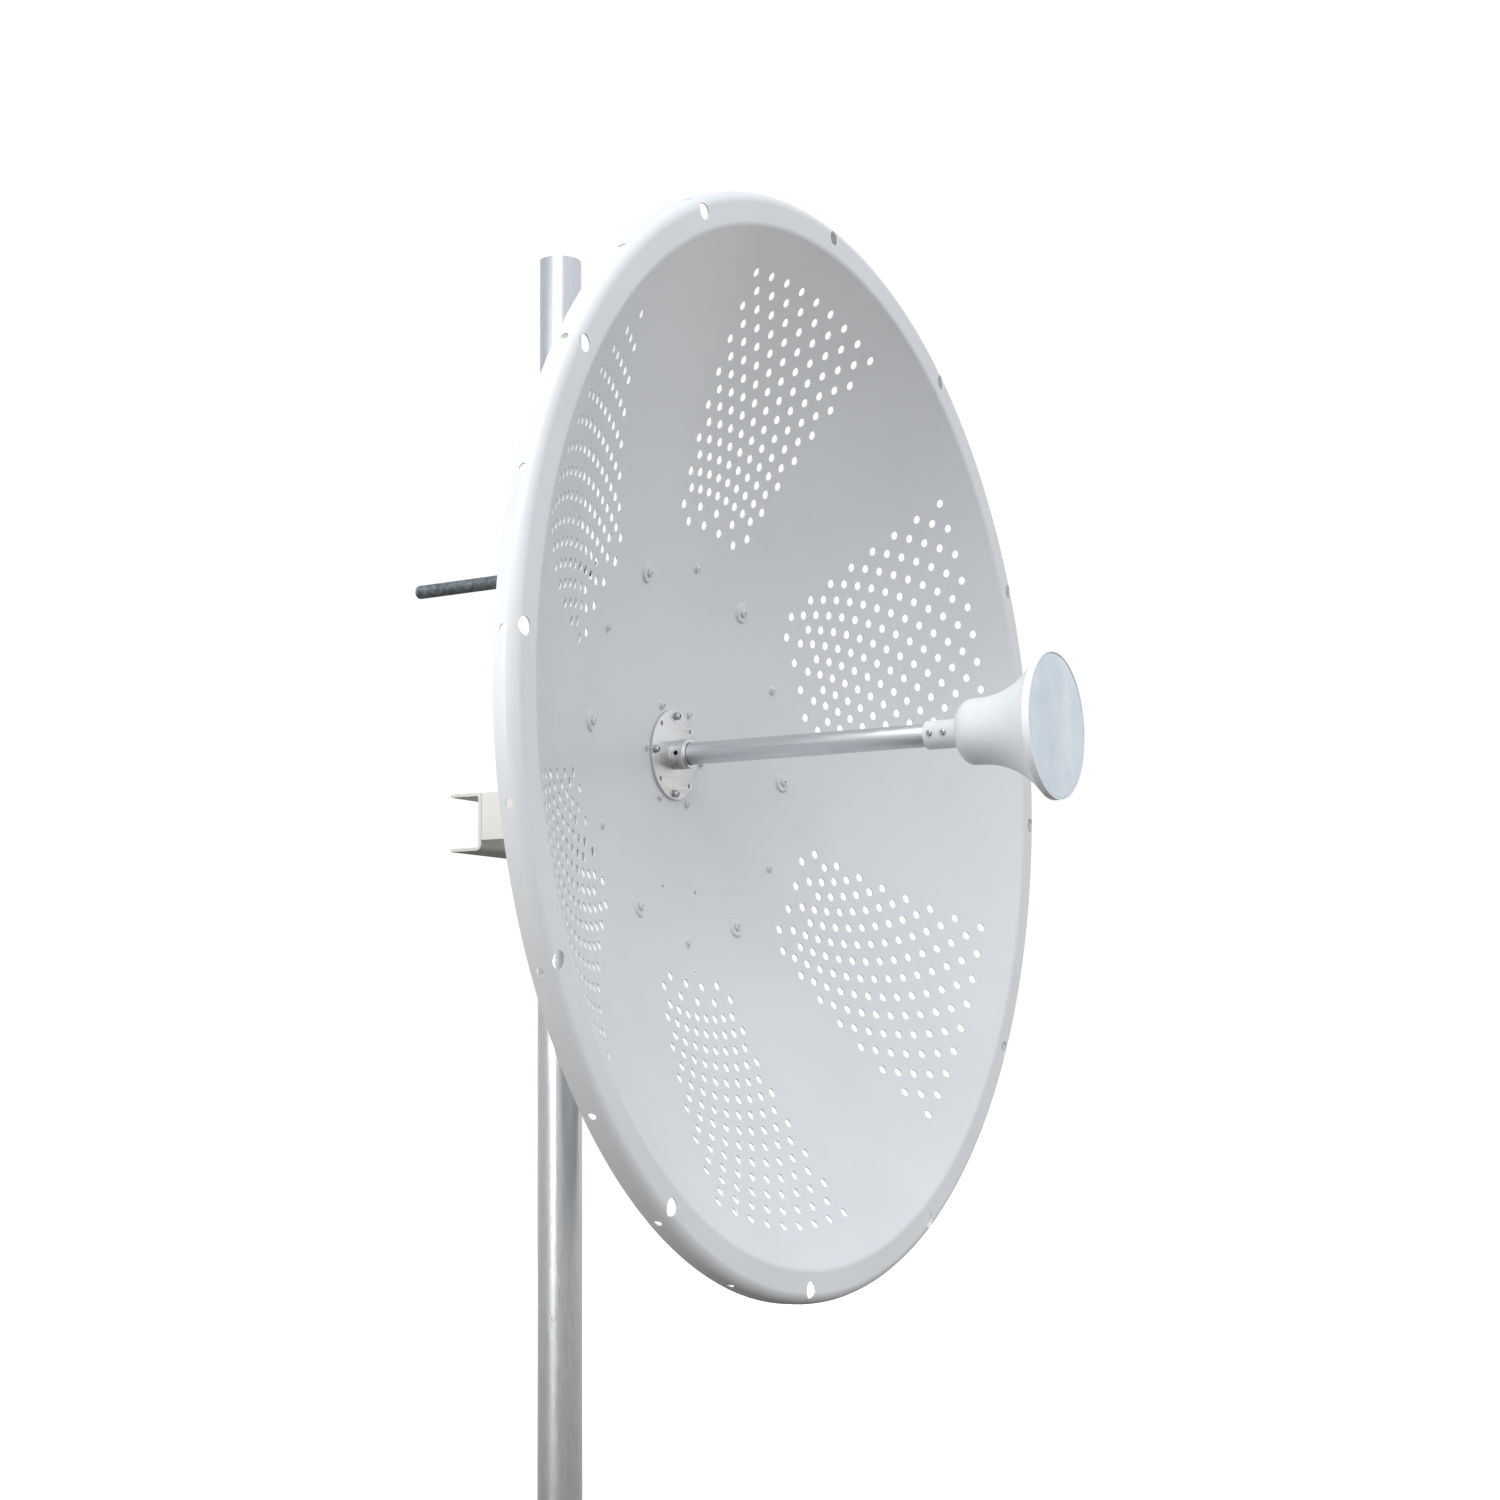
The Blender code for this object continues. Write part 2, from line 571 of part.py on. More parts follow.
def hex_bolt(name, across, head, shank_r, length, mat, matrix, n=12):
    """A hexagon head above local Z = 0 with its shank below it."""
    corner = across / 2 / math.cos(math.pi / 6)
    ob = cylinder(name, shank_r, -length, head / 2, mat, matrix, segments=n)
    me = bpy.data.meshes.new(name + "_head")
    bm = bmesh.new()
    bmesh.ops.create_cone(bm, cap_ends=True, segments=6, radius1=corner, radius2=corner,
                          depth=head, matrix=Matrix.Translation((0, 0, head / 2)))
    bm.to_mesh(me)
    bm.free()
    boolean(ob, add(name + "_head", me, None, matrix, cutter=True), 'UNION')
    return ob


# elevation pivots: head outside the cheek, nut inside the ear of the yoke
CHEEK_IN = YOKE_HALF + 0.0005
CHEEK_OUT = CHEEK_IN + 0.0040
for side, s in (("left", -1), ("right", 1)):
    turn = Matrix.Rotation(math.radians(90 * s), 4, 'Y')
    m = DISH @ Matrix.Translation((s * (CHEEK_OUT + GAP), PIVOT_H, PIVOT_Z)) @ turn
    hex_bolt(f"pivot_bolt_{side}", 0.018, 0.0075, M12_R, 0.0220, STAINLESS, m)
    m = DISH @ Matrix.Translation((s * (YOKE_HALF - 0.004 - GAP), PIVOT_H, PIVOT_Z)) \
        @ Matrix.Rotation(math.radians(-90 * s), 4, 'Y')
    hex_nut(f"pivot_nut_{side}", 0.018, 0.0100, PIVOT_HOLE_R, STAINLESS, m)

# rod pivot: head outside the eye, nut inside the spine
m = DISH @ Matrix.Translation((ROD_X - 0.0080 - GAP, ROD_EYE_H, ROD_EYE_Z)) \
    @ Matrix.Rotation(math.radians(-90), 4, 'Y')
hex_bolt("rod_pivot_bolt", 0.018, 0.0075, M12_R, 0.0330, STAINLESS, m)
m = DISH @ Matrix.Translation((-inner_half + GAP, ROD_EYE_H, ROD_EYE_Z)) \
    @ Matrix.Rotation(math.radians(90), 4, 'Y')
hex_nut("rod_pivot_nut", 0.018, 0.0100, PIVOT_HOLE_R, STAINLESS, m)

# ---------------------------------------------------------------- elevation rod
# rod frame: origin at the eye, local z back along the rod
ROD = DISH @ Matrix.Translation((ROD_X, ROD_EYE_H, ROD_EYE_Z)) \
    @ Matrix.Rotation(math.pi, 4, 'Y') @ Matrix.Rotation(ROD_SLOPE, 4, 'X')
rod = cylinder("elevation_rod", ROD_R, 0.0060, ROD_LEN, DARK, ROD, segments=16)
across = Matrix.Rotation(math.radians(90), 4, 'Y')
boolean(rod, cylinder("rod_eye", EYE_R, -0.0080, 0.0080, None, ROD @ across, segments=24,
                      cutter=True), 'UNION')
boolean(rod, cylinder("cut_rod_eye", PIVOT_HOLE_R, -0.02, 0.02, None, ROD @ across, segments=16,
                      cutter=True))

# the rod crosses the clamp plate where the plate stands behind the mast
WEB_BACK = CHANNEL_WEB_Y - VERTEX_Y          # front face of web and clamp, behind the vertex
CROSS = (WEB_BACK + CLAMP_T / 2 + ROD_EYE_Z) / math.cos(ROD_SLOPE)
hex_nut("rod_nut_front", 0.024, 0.0130, ROD_R + GAP, DARK,
        ROD @ Matrix.Translation((0, 0, CROSS - CLAMP_T / 2 - 0.0030 - 0.0130)), n=16)
hex_nut("rod_nut_rear", 0.024, 0.0130, ROD_R + GAP, DARK,
        ROD @ Matrix.Translation((0, 0, CROSS + CLAMP_T / 2 + 0.0016)), n=16)

# ---------------------------------------------------------------- mast bracket
# outlines in (y, z) of the part's frame, extruded along X
ALONG_X = Matrix(((0, 0, 1, 0), (1, 0, 0, 0), (0, 1, 0, 0), (0, 0, 0, 1)))


def channel_outline():
    """A U open to the rear, bent from one sheet."""
    y0, y1 = CHANNEL_WEB_Y, CHANNEL_WEB_Y + CHANNEL_DEPTH
    z1 = VERTEX_Z + CHANNEL_TOP
    z0 = z1 - CHANNEL_H
    t, ro, ri, n = CHANNEL_T, 0.0070, 0.0030, 3
    pts = [(y1, z1)]
    for i in range(n + 1):
        a = math.radians(90 + 90 * i / n)
        pts.append((y0 + ro + ro * math.cos(a), z1 - ro + ro * math.sin(a)))
    for i in range(n + 1):
        a = math.radians(180 + 90 * i / n)
        pts.append((y0 + ro + ro * math.cos(a), z0 + ro + ro * math.sin(a)))
    pts += [(y1, z0), (y1, z0 + t)]
    for i in range(n + 1):
        a = math.radians(270 - 90 * i / n)
        pts.append((y0 + t + ri + ri * math.cos(a), z0 + t + ri + ri * math.sin(a)))
    for i in range(n + 1):
        a = math.radians(180 - 90 * i / n)
        pts.append((y0 + t + ri + ri * math.cos(a), z1 - t - ri + ri * math.sin(a)))
    pts.append((y1, z1 - t))
    return pts


channel = plate("rear_channel", [channel_outline()], 2 * CHANNEL_HALF, CREAM, ALONG_X)
BACKWARD = Matrix.Rotation(math.radians(-90), 4, 'X')        # local z along +Y
for s in (-1, 1):
    m = Matrix.Translation((s * UBOLT_R, 0, VERTEX_Z + LOWER_UBOLT_H)) @ BACKWARD
    boolean(channel, cylinder(f"cut_channel_{s + 1}", UBOLT_ROD + 0.0008, 0.015, 0.045, None, m,
                              segments=12, cutter=True))

CHEEK_TOP = VERTEX_Z + CHANNEL_TOP - 0.0005
for side, s in (("left", -1), ("right", 1)):
    y_front = VERTEX_Y - PIVOT_Z - 0.0220
    # the front end is rounded off about the pivot
    rc = 0.016
    yf = y_front + rc
    head = []
    for i in range(6):
        a = math.radians(90 + 90 * i / 5)
        head.append((yf + rc * math.cos(a), CHEEK_TOP - rc + rc * math.sin(a)))
    for i in range(6):
        a = math.radians(180 + 90 * i / 5)
        head.append((yf + rc * math.cos(a), CHEEK_TOP - CHEEK_H + rc + rc * math.sin(a)))
    outline = head + [(CHANNEL_WEB_Y - GAP, CHEEK_TOP - CHEEK_H), (CHANNEL_WEB_Y - GAP, CHEEK_TOP)]
    hole = circle(PIVOT_HOLE_R, 16, VERTEX_Y - PIVOT_Z, VERTEX_Z + PIVOT_H)
    plate(f"cheek_{side}", [outline, hole], 0.0040, CREAM,
          Matrix.Translation((s * (CHEEK_IN + 0.0020), 0, 0)) @ ALONG_X)

# upper clamp: outline in (x, z), thin along Y
UPRIGHT = Matrix(((1, 0, 0, 0), (0, 0, -1, 0), (0, 1, 0, 0), (0, 0, 0, 1)))
CLAMP_H = VERTEX_Z + ROD_EYE_H - math.tan(ROD_SLOPE) * (WEB_BACK + CLAMP_T / 2 + ROD_EYE_Z)
plate("upper_clamp_plate",
      [rounded(-0.0720, CLAMP_H - 0.0215 - ROD_R - 0.0104, 0.0480,
               VERTEX_Z + UPPER_UBOLT_H + 0.0170, 0.006, 3),
       slot(ROD_X, CLAMP_H - 0.0215, CLAMP_H + 0.0040, ROD_R + 0.0014),
       circle(UBOLT_ROD + 0.0008, 12, -UBOLT_R, VERTEX_Z + UPPER_UBOLT_H),
       circle(UBOLT_ROD + 0.0008, 12, UBOLT_R, VERTEX_Z + UPPER_UBOLT_H)],
      CLAMP_T, CREAM, Matrix.Translation((0, CHANNEL_WEB_Y + CLAMP_T / 2, 0)) @ UPRIGHT)

# U-bolts come round the front of the mast
for name, h, t in (("lower", LOWER_UBOLT_H, CHANNEL_T), ("upper", UPPER_UBOLT_H, CLAMP_T)):
    z = VERTEX_Z + h
    end = CHANNEL_WEB_Y + t + GAP + 0.0080 + 0.0120
    pts = [(UBOLT_R, end, z)]
    for i in range(13):
        a = -math.pi * i / 12
        pts.append((UBOLT_R * math.cos(a), UBOLT_R * math.sin(a), z))
    pts.append((-UBOLT_R, end, z))
    tube(f"{name}_u_bolt", pts, UBOLT_ROD, GALV, Matrix.Identity(4))
    for side, s in (("left", -1), ("right", 1)):
        m = Matrix.Translation((s * UBOLT_R, CHANNEL_WEB_Y + t + GAP, z)) @ BACKWARD
        hex_nut(f"{name}_u_bolt_nut_{side}", 0.0170, 0.0080, UBOLT_ROD + GAP, GALV, m)

bpy.context.view_layer.update()
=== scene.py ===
"""Looks of the perforated satellite dish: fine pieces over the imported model,
procedural materials, floor, light and camera.  Metres, +Z up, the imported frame.
"""

import math
import bpy
import bmesh
import numpy as np
from mathutils import Matrix, Vector, geometry


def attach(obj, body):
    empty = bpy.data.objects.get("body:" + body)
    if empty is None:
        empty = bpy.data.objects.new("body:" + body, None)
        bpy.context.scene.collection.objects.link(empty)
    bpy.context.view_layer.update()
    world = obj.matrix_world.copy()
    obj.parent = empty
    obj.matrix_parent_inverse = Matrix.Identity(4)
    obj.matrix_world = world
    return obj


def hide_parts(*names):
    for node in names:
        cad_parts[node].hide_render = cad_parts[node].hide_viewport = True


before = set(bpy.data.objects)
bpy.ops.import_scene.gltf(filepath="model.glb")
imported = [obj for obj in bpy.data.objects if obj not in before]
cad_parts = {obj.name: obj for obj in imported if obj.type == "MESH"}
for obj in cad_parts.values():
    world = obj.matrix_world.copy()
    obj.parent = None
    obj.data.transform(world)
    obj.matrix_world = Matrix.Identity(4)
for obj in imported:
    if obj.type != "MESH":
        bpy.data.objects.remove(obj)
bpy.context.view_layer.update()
scene = bpy.context.scene
rad = math.radians

# ------------------------------------------------------------ sizes of the part
MAST_R, MAST_WALL, MAST_LEN = 0.0254, 0.0032, 1.501
VERTEX_Y, VERTEX_Z = -0.151, 0.900
ROLL, SCREW_ROLL, FEED_ROLL = rad(-4.35), rad(-3.5), rad(-3.0)
FOCAL, C4, SHEET, SEAT_R, BORE_R = 0.4435, 0.116, 0.0013, 0.0520, 0.0142
BEND_START_R, BEND_RADIUS, LIP_END_R = 0.5630, 0.0100, 0.5890
SHOULDER_RADIUS, WALL_BACK_Z = 0.0125, 0.1690
LIP_HOLE_R, LIP_HOLE_DIA, LIP_HOLES = 0.5860, 0.0180, 12
FRAME_SCREW_R, HUB_SCREW_R, FLANGE_SCREW_R = 0.2143, 0.0600, 0.0445
RING_T, RING_IN_R, RING_OUT_R, HUB_PLATE_R = 0.0040, 0.1960, 0.2340, 0.0740
FLANGE_R, FLANGE_T, HUB_R, HUB_LEN = 0.0510, 0.0030, 0.0170, 0.0200
BOOM_R, BOOM_WALL, BOOM_BACK_Z, BOOM_FRONT_Z = 0.0125, 0.0018, -0.0220, 0.3520
HORN_R, HORN_FRONT_Z, COLLAR_R, COLLAR_BACK_Z, HORN_WALL = 0.0780, 0.4670, 0.0155, 0.3185, 0.0025
SPINE_HALF, SPINE_T, SPINE_BACK_Z = 0.0375, 0.0040, -0.0200
PIVOT_Z, PIVOT_H, YOKE_HALF = -0.0750, -0.0700, 0.1175
ROD_X, ROD_R, ROD_EYE_Z, ROD_EYE_H = -0.0470, 0.0080, -0.0350, 0.2145
ROD_SLOPE, ROD_LEN, EYE_R = rad(0.75), 0.2847, 0.0130
CHANNEL_HALF, CHANNEL_TOP, CHANNEL_H = 0.1220, -0.0425, 0.0655
CHANNEL_WEB_Y, CHANNEL_DEPTH, CHANNEL_T, CHEEK_H = 0.0257, 0.0415, 0.0040, 0.0536
UBOLT_R, UBOLT_ROD, LOWER_UBOLT_H, UPPER_UBOLT_H, CLAMP_T = 0.0312, 0.0050, -0.0752, 0.2430, 0.0050
GAP = 0.0003

DISH = Matrix.Translation((0.0, VERTEX_Y, VERTEX_Z)) @ Matrix.Rotation(math.pi / 2, 4, 'X')


def turn(deg, axis):
    return Matrix.Rotation(rad(deg), 4, axis)


def move(x, y, z):
    return Matrix.Translation((x, y, z))


# ------------------------------------------------------------------- materials
class Nodes:
    """Small helper to write node trees in few lines."""

    def __init__(self, name):
        self.m = bpy.data.materials.new(name)
        self.m.use_nodes = True
        self.t = self.m.node_tree
        self.b = self.t.nodes["Principled BSDF"]
        self.coord = self.t.nodes.new("ShaderNodeTexCoord").outputs["Object"]
        self.bump = None

    def link(self, a, b):
        self.t.links.new(a, b)

    def stretch(self, scale, source=None):
        n = self.t.nodes.new("ShaderNodeMapping")
        n.inputs["Scale"].default_value = scale
        self.link(source or self.coord, n.inputs["Vector"])
        return n.outputs["Vector"]

    def noise(self, scale, detail=3.0, rough=0.5, vector=None):
        n = self.t.nodes.new("ShaderNodeTexNoise")
        n.inputs["Scale"].default_value = scale
        n.inputs["Detail"].default_value = detail
        n.inputs["Roughness"].default_value = rough
        self.link(vector or self.coord, n.inputs["Vector"])
        return n.outputs["Fac"]

    def cells(self, scale, vector=None):
        n = self.t.nodes.new("ShaderNodeTexVoronoi")
        n.inputs["Scale"].default_value = scale
        self.link(vector or self.coord, n.inputs["Vector"])
        return n

    def ramp(self, source, stops):
        n = self.t.nodes.new("ShaderNodeValToRGB")
        e = n.color_ramp.elements
        while len(e) < len(stops):
            e.new(0.5)
        for el, (p, c) in zip(e, stops):
            el.position = p
            el.color = (*c, 1.0) if len(c) == 3 else c
        self.link(source, n.inputs["Fac"])
        return n.outputs["Color"]

    def span(self, source, lo, hi, a=0.3, b=0.7):
        n = self.t.nodes.new("ShaderNodeMapRange")
        n.inputs["From Min"].default_value = a
        n.inputs["From Max"].default_value = b
        n.inputs["To Min"].default_value = lo
        n.inputs["To Max"].default_value = hi
        self.link(source, n.inputs["Value"])
        return n.outputs["Result"]

    def mix(self, fac, a, b, mode='MIX'):
        n = self.t.nodes.new("ShaderNodeMix")
        n.data_type = 'RGBA'
        n.blend_type = mode
        for key, v in (("Factor", fac),):
            if isinstance(v, (int, float)):
                n.inputs[0].default_value = v
            else:
                self.link(v, n.inputs[0])
        for idx, v in ((6, a), (7, b)):
            if isinstance(v, tuple):
                n.inputs[idx].default_value = (*v, 1.0)
            else:
                self.link(v, n.inputs[idx])
        return n.outputs[2]

    def add_bump(self, source, distance, strength=1.0):
        n = self.t.nodes.new("ShaderNodeBump")
        n.inputs["Distance"].default_value = distance
        n.inputs["Strength"].default_value = strength
        self.link(source, n.inputs["Height"])
        if self.bump is not None:
            self.link(self.bump, n.inputs["Normal"])
        self.bump = n.outputs["Normal"]
        self.link(self.bump, self.b.inputs["Normal"])

    def constant(self, **kw):
        for k, v in kw.items():
            self.b.inputs[k.replace("_", " ")].default_value = v

    def colour(self, source):
        self.link(source, self.b.inputs["Base Color"])

    def roughness(self, source):
        self.link(source, self.b.inputs["Roughness"])


def shade(c, f):
    return tuple(min(1.0, v * f) for v in c)


def paint_material(name, base, rough=0.42, dirt=(0.50, 0.49, 0.46), coat=0.0):
    """Baked powder coat: orange peel, soft tone changes, faint handling marks."""
    n = Nodes(name)
    tone = n.ramp(n.noise(5.5, 4, 0.55), [(0.30, shade(base, 0.965)), (0.5, base), (0.72, shade(base, 1.03))])
    specks = n.noise(420, 2, 0.5)
    tone = n.mix(n.span(specks, 0.0, 0.10, 0.62, 0.80), tone, dirt)
    smear = n.noise(14, 5, 0.6, n.stretch((1.0, 1.0, 0.35)))
    tone = n.mix(n.span(smear, 0.0, 0.05, 0.55, 0.80), tone, dirt)
    n.colour(tone)
    n.roughness(n.span(n.noise(22, 4, 0.6), rough - 0.06, rough + 0.08))
    n.add_bump(n.noise(700, 2, 0.5), 0.00003, 0.55)
    n.add_bump(n.noise(4.0, 2, 0.4), 0.0010, 0.22)
    n.constant(Coat_Weight=coat, Coat_Roughness=0.25)
    return n.m


def galvanised_material():
    """Zinc on drawn tube: long drawn streaks, faint spangle and dull patches."""
    n = Nodes("fine_galvanised")
    spangle = n.cells(240, n.stretch((1.0, 1.0, 0.25)))
    zinc = n.ramp(spangle.outputs["Color"], [(0.1, (0.565, 0.585, 0.605)), (0.5, (0.59, 0.61, 0.63)),
                                             (0.9, (0.615, 0.635, 0.65))])
    patch = n.noise(9, 4, 0.55, n.stretch((1.0, 1.0, 0.30)))
    zinc = n.mix(n.span(patch, 0.0, 0.22, 0.42, 0.70), zinc, (0.68, 0.70, 0.72))
    streak = n.noise(60, 3, 0.6, n.stretch((1.0, 1.0, 0.03)))
    zinc = n.mix(n.span(streak, 0.0, 0.22, 0.45, 0.75), zinc, (0.46, 0.455, 0.44))
    n.colour(zinc)
    n.roughness(n.span(patch, 0.24, 0.30, 0.3, 0.7))
    n.add_bump(streak, 0.00002, 0.15)
    n.add_bump(n.noise(260, 3, 0.6), 0.000006, 0.15)
    n.constant(Metallic=0.92)
    return n.m


def steel_material(name, dark, light, rough, metallic=1.0, streaks=(1.0, 1.0, 1.0)):
    n = Nodes(name)
    g = n.noise(180, 4, 0.6, n.stretch(streaks))
    n.colour(n.ramp(g, [(0.30, dark), (0.70, light)]))
    n.roughness(n.span(n.noise(45, 4, 0.6), rough - 0.06, rough + 0.10))
    n.add_bump(g, 0.00004, 0.4)
    n.constant(Metallic=metallic)
    return n.m


def turned_material(name, dark, light, rough, axis=(0.0, VERTEX_Y, VERTEX_Z)):
    """Machined and anodised aluminium: fine rings about the boresight."""
    n = Nodes(name)
    off = n.t.nodes.new("ShaderNodeVectorMath")
    off.operation = 'SUBTRACT'
    off.inputs[1].default_value = axis
    n.link(n.coord, off.inputs[0])
    flat = n.t.nodes.new("ShaderNodeVectorMath")
    flat.operation = 'MULTIPLY'
    flat.inputs[1].default_value = (1.0, 0.0, 1.0)
    n.link(off.outputs[0], flat.inputs[0])
    dist = n.t.nodes.new("ShaderNodeVectorMath")
    dist.operation = 'LENGTH'
    n.link(flat.outputs[0], dist.inputs[0])
    sep = n.t.nodes.new("ShaderNodeSeparateXYZ")
    n.link(n.coord, sep.inputs[0])
    both = n.t.nodes.new("ShaderNodeCombineXYZ")
    n.link(dist.outputs["Value"], both.inputs[0])
    n.link(sep.outputs[1], both.inputs[1])
    rings = n.noise(900, 2, 0.5, both.outputs[0])
    n.colour(n.mix(n.span(rings, 0.0, 1.0, 0.35, 0.65), dark, light))
    n.roughness(n.span(n.noise(30, 4, 0.6), rough - 0.05, rough + 0.08))
    n.add_bump(rings, 0.00001, 0.35)
    n.constant(Metallic=1.0)
    return n.m


def plastic_material(name, base, rough, grain=900, cloud=0.04):
    n = Nodes(name)
    c = n.ramp(n.noise(16, 4, 0.55), [(0.3, shade(base, 1 - cloud)), (0.7, shade(base, 1 + cloud * 0.6))])
    n.colour(c)
    n.roughness(n.span(n.noise(35, 3, 0.6), rough - 0.03, rough + 0.05))
    n.add_bump(n.noise(grain, 2, 0.5), 0.00003, 0.45)
    n.constant(Specular_IOR_Level=0.5)
    return n.m


def cover_material():
    """Glossy moulded radome: clouded pale blue-grey with faint flow marks."""
    n = Nodes("fine_cover")
    flow = n.noise(18, 5, 0.62, n.stretch((1.0, 1.0, 0.8)))
    c = n.ramp(flow, [(0.28, (0.500, 0.585, 0.680)), (0.50, (0.600, 0.680, 0.760)), (0.72, (0.720, 0.785, 0.845))])
    n.colour(c)
    n.roughness(n.span(flow, 0.10, 0.24, 0.3, 0.7))
    n.add_bump(n.noise(7, 2, 0.5), 0.0008, 0.25)
    n.add_bump(n.noise(600, 2, 0.5), 0.00002, 0.3)
    n.constant(Coat_Weight=0.5, Coat_Roughness=0.06)
    return n.m


PAINT = paint_material("fine_dish_paint", (0.655, 0.672, 0.692), 0.38, coat=0.15)
CREAM = paint_material("fine_bracket_paint", (0.610, 0.603, 0.562), 0.45)
GALV = galvanised_material()
ZINC = steel_material("fine_zinc", (0.42, 0.44, 0.46), (0.62, 0.64, 0.66), 0.36)
ROD = steel_material("fine_rod_steel", (0.10, 0.12, 0.13), (0.34, 0.37, 0.39), 0.46, 0.85)
STAINLESS = steel_material("fine_stainless", (0.42, 0.42, 0.43), (0.66, 0.66, 0.66), 0.22)
ALU = turned_material("fine_satin_aluminium", (0.70, 0.70, 0.70), (0.77, 0.77, 0.77), 0.38)
TUBE = steel_material("fine_drawn_aluminium", (0.66, 0.68, 0.70), (0.76, 0.775, 0.79), 0.38,
                      streaks=(1.0, 0.04, 1.0))
WHITE = plastic_material("fine_white_plastic", (0.850, 0.865, 0.880), 0.36)
COVER = cover_material()
BLACK = steel_material("fine_black_oxide", (0.012, 0.012, 0.013), (0.045, 0.045, 0.047), 0.42, 0.5)
BRASS = steel_material("fine_plated_brass", (0.50, 0.47, 0.39), (0.74, 0.71, 0.62), 0.24)
PTFE = plastic_material("fine_insulator", (0.82, 0.80, 0.74), 0.5)


def board_material():
    n = Nodes("fine_board")
    c = n.ramp(n.noise(60, 4, 0.6), [(0.3, (0.50, 0.27, 0.13)), (0.7, (0.68, 0.40, 0.20))])
    n.colour(c)
    n.roughness(n.span(n.noise(90, 3, 0.5), 0.3, 0.5))
    n.add_bump(n.noise(400, 2, 0.5), 0.00003, 0.4)
    n.constant(Metallic=0.8)
    return n.m


def jacket_material():
    """Braided coaxial line under a clear tan jacket."""
    n = Nodes("fine_line_jacket")
    w = n.t.nodes.new("ShaderNodeTexWave")
    w.bands_direction = 'DIAGONAL'
    w.inputs["Scale"].default_value = 260
    w.inputs["Distortion"].default_value = 1.0
    n.link(n.coord, w.inputs["Vector"])
    n.colour(n.ramp(w.outputs["Fac"], [(0.2, (0.38, 0.29, 0.18)), (0.8, (0.60, 0.50, 0.36))]))
    n.roughness(n.span(n.noise(80, 3, 0.5), 0.35, 0.5))
    n.add_bump(w.outputs["Fac"], 0.0002, 0.4)
    return n.m


BOARD = board_material()
JACKET = jacket_material()


# --------------------------------------------------------------- shells of mesh
# a shell is (vertices, faces); pieces are made of one or more shells
def moved(shell, m):
    return [m @ Vector(v) for v in shell[0]], shell[1]


def soften(points, radius, closed=False, n=4, skip=()):
    """Rounds the corners of an outline. radius is one number or one per corner."""
    out = []
    count = len(points)
    for i, p in enumerate(points):
        r = radius[i] if isinstance(radius, (list, tuple)) else radius
        if (not closed and i in (0, count - 1)) or r <= 0 or i in skip:
            out.append(tuple(p))
            continue
        a, b, c = Vector(points[i - 1]), Vector(p), Vector(points[(i + 1) % count])
        u, v = a - b, c - b
        lu, lv = u.length, v.length
        if lu < 1e-9 or lv < 1e-9:
            out.append(tuple(p))
            continue
        u /= lu
        v /= lv
        ang = math.acos(max(-1, min(1, u.dot(v))))
        if ang > rad(176) or ang < rad(4):
            out.append(tuple(p))
            continue
        cut = min(r / math.tan(ang / 2), lu * 0.48, lv * 0.48)
        rr = cut * math.tan(ang / 2)
        bis = (u + v).normalized()
        centre = b + bis * (rr / math.sin(ang / 2))
        s, e = b + u * cut - centre, b + v * cut - centre
        a0 = math.atan2(s[1], s[0])
        da = math.atan2(e[1], e[0]) - a0
        da = (da + math.pi) % (2 * math.pi) - math.pi
        for k in range(n + 1):
            t = a0 + da * k / n
            out.append((centre[0] + rr * math.cos(t), centre[1] + rr * math.sin(t)))
    return out


def lathe(profile, m=None, segs=64, closed=False):
    """Turns (radius, height) points about local Z."""
    verts, rows = [], []
    for r, z in profile:
        if r < 1e-7:
            rows.append([len(verts)] * segs)
            verts.append((0.0, 0.0, z))
        else:
            rows.append(list(range(len(verts), len(verts) + segs)))
            verts += [(r * math.cos(2 * math.pi * k / segs), r * math.sin(2 * math.pi * k / segs), z)
                      for k in range(segs)]
    faces = []
    n = len(rows)
    for i in range(n if closed else n - 1):
        a, b = rows[i], rows[(i + 1) % n]
        for k in range(segs):
            j = (k + 1) % segs
            f = [a[k], a[j], b[j], b[k]]
            g = [v for q, v in enumerate(f) if v not in f[:q]]
            if len(g) > 2:
                faces.append(g)
    if not closed:
        for row in (rows[0], rows[-1]):
            if row[0] != row[1]:
                faces.append(list(row))
    s = (verts, faces)
    return moved(s, m) if m is not None else s


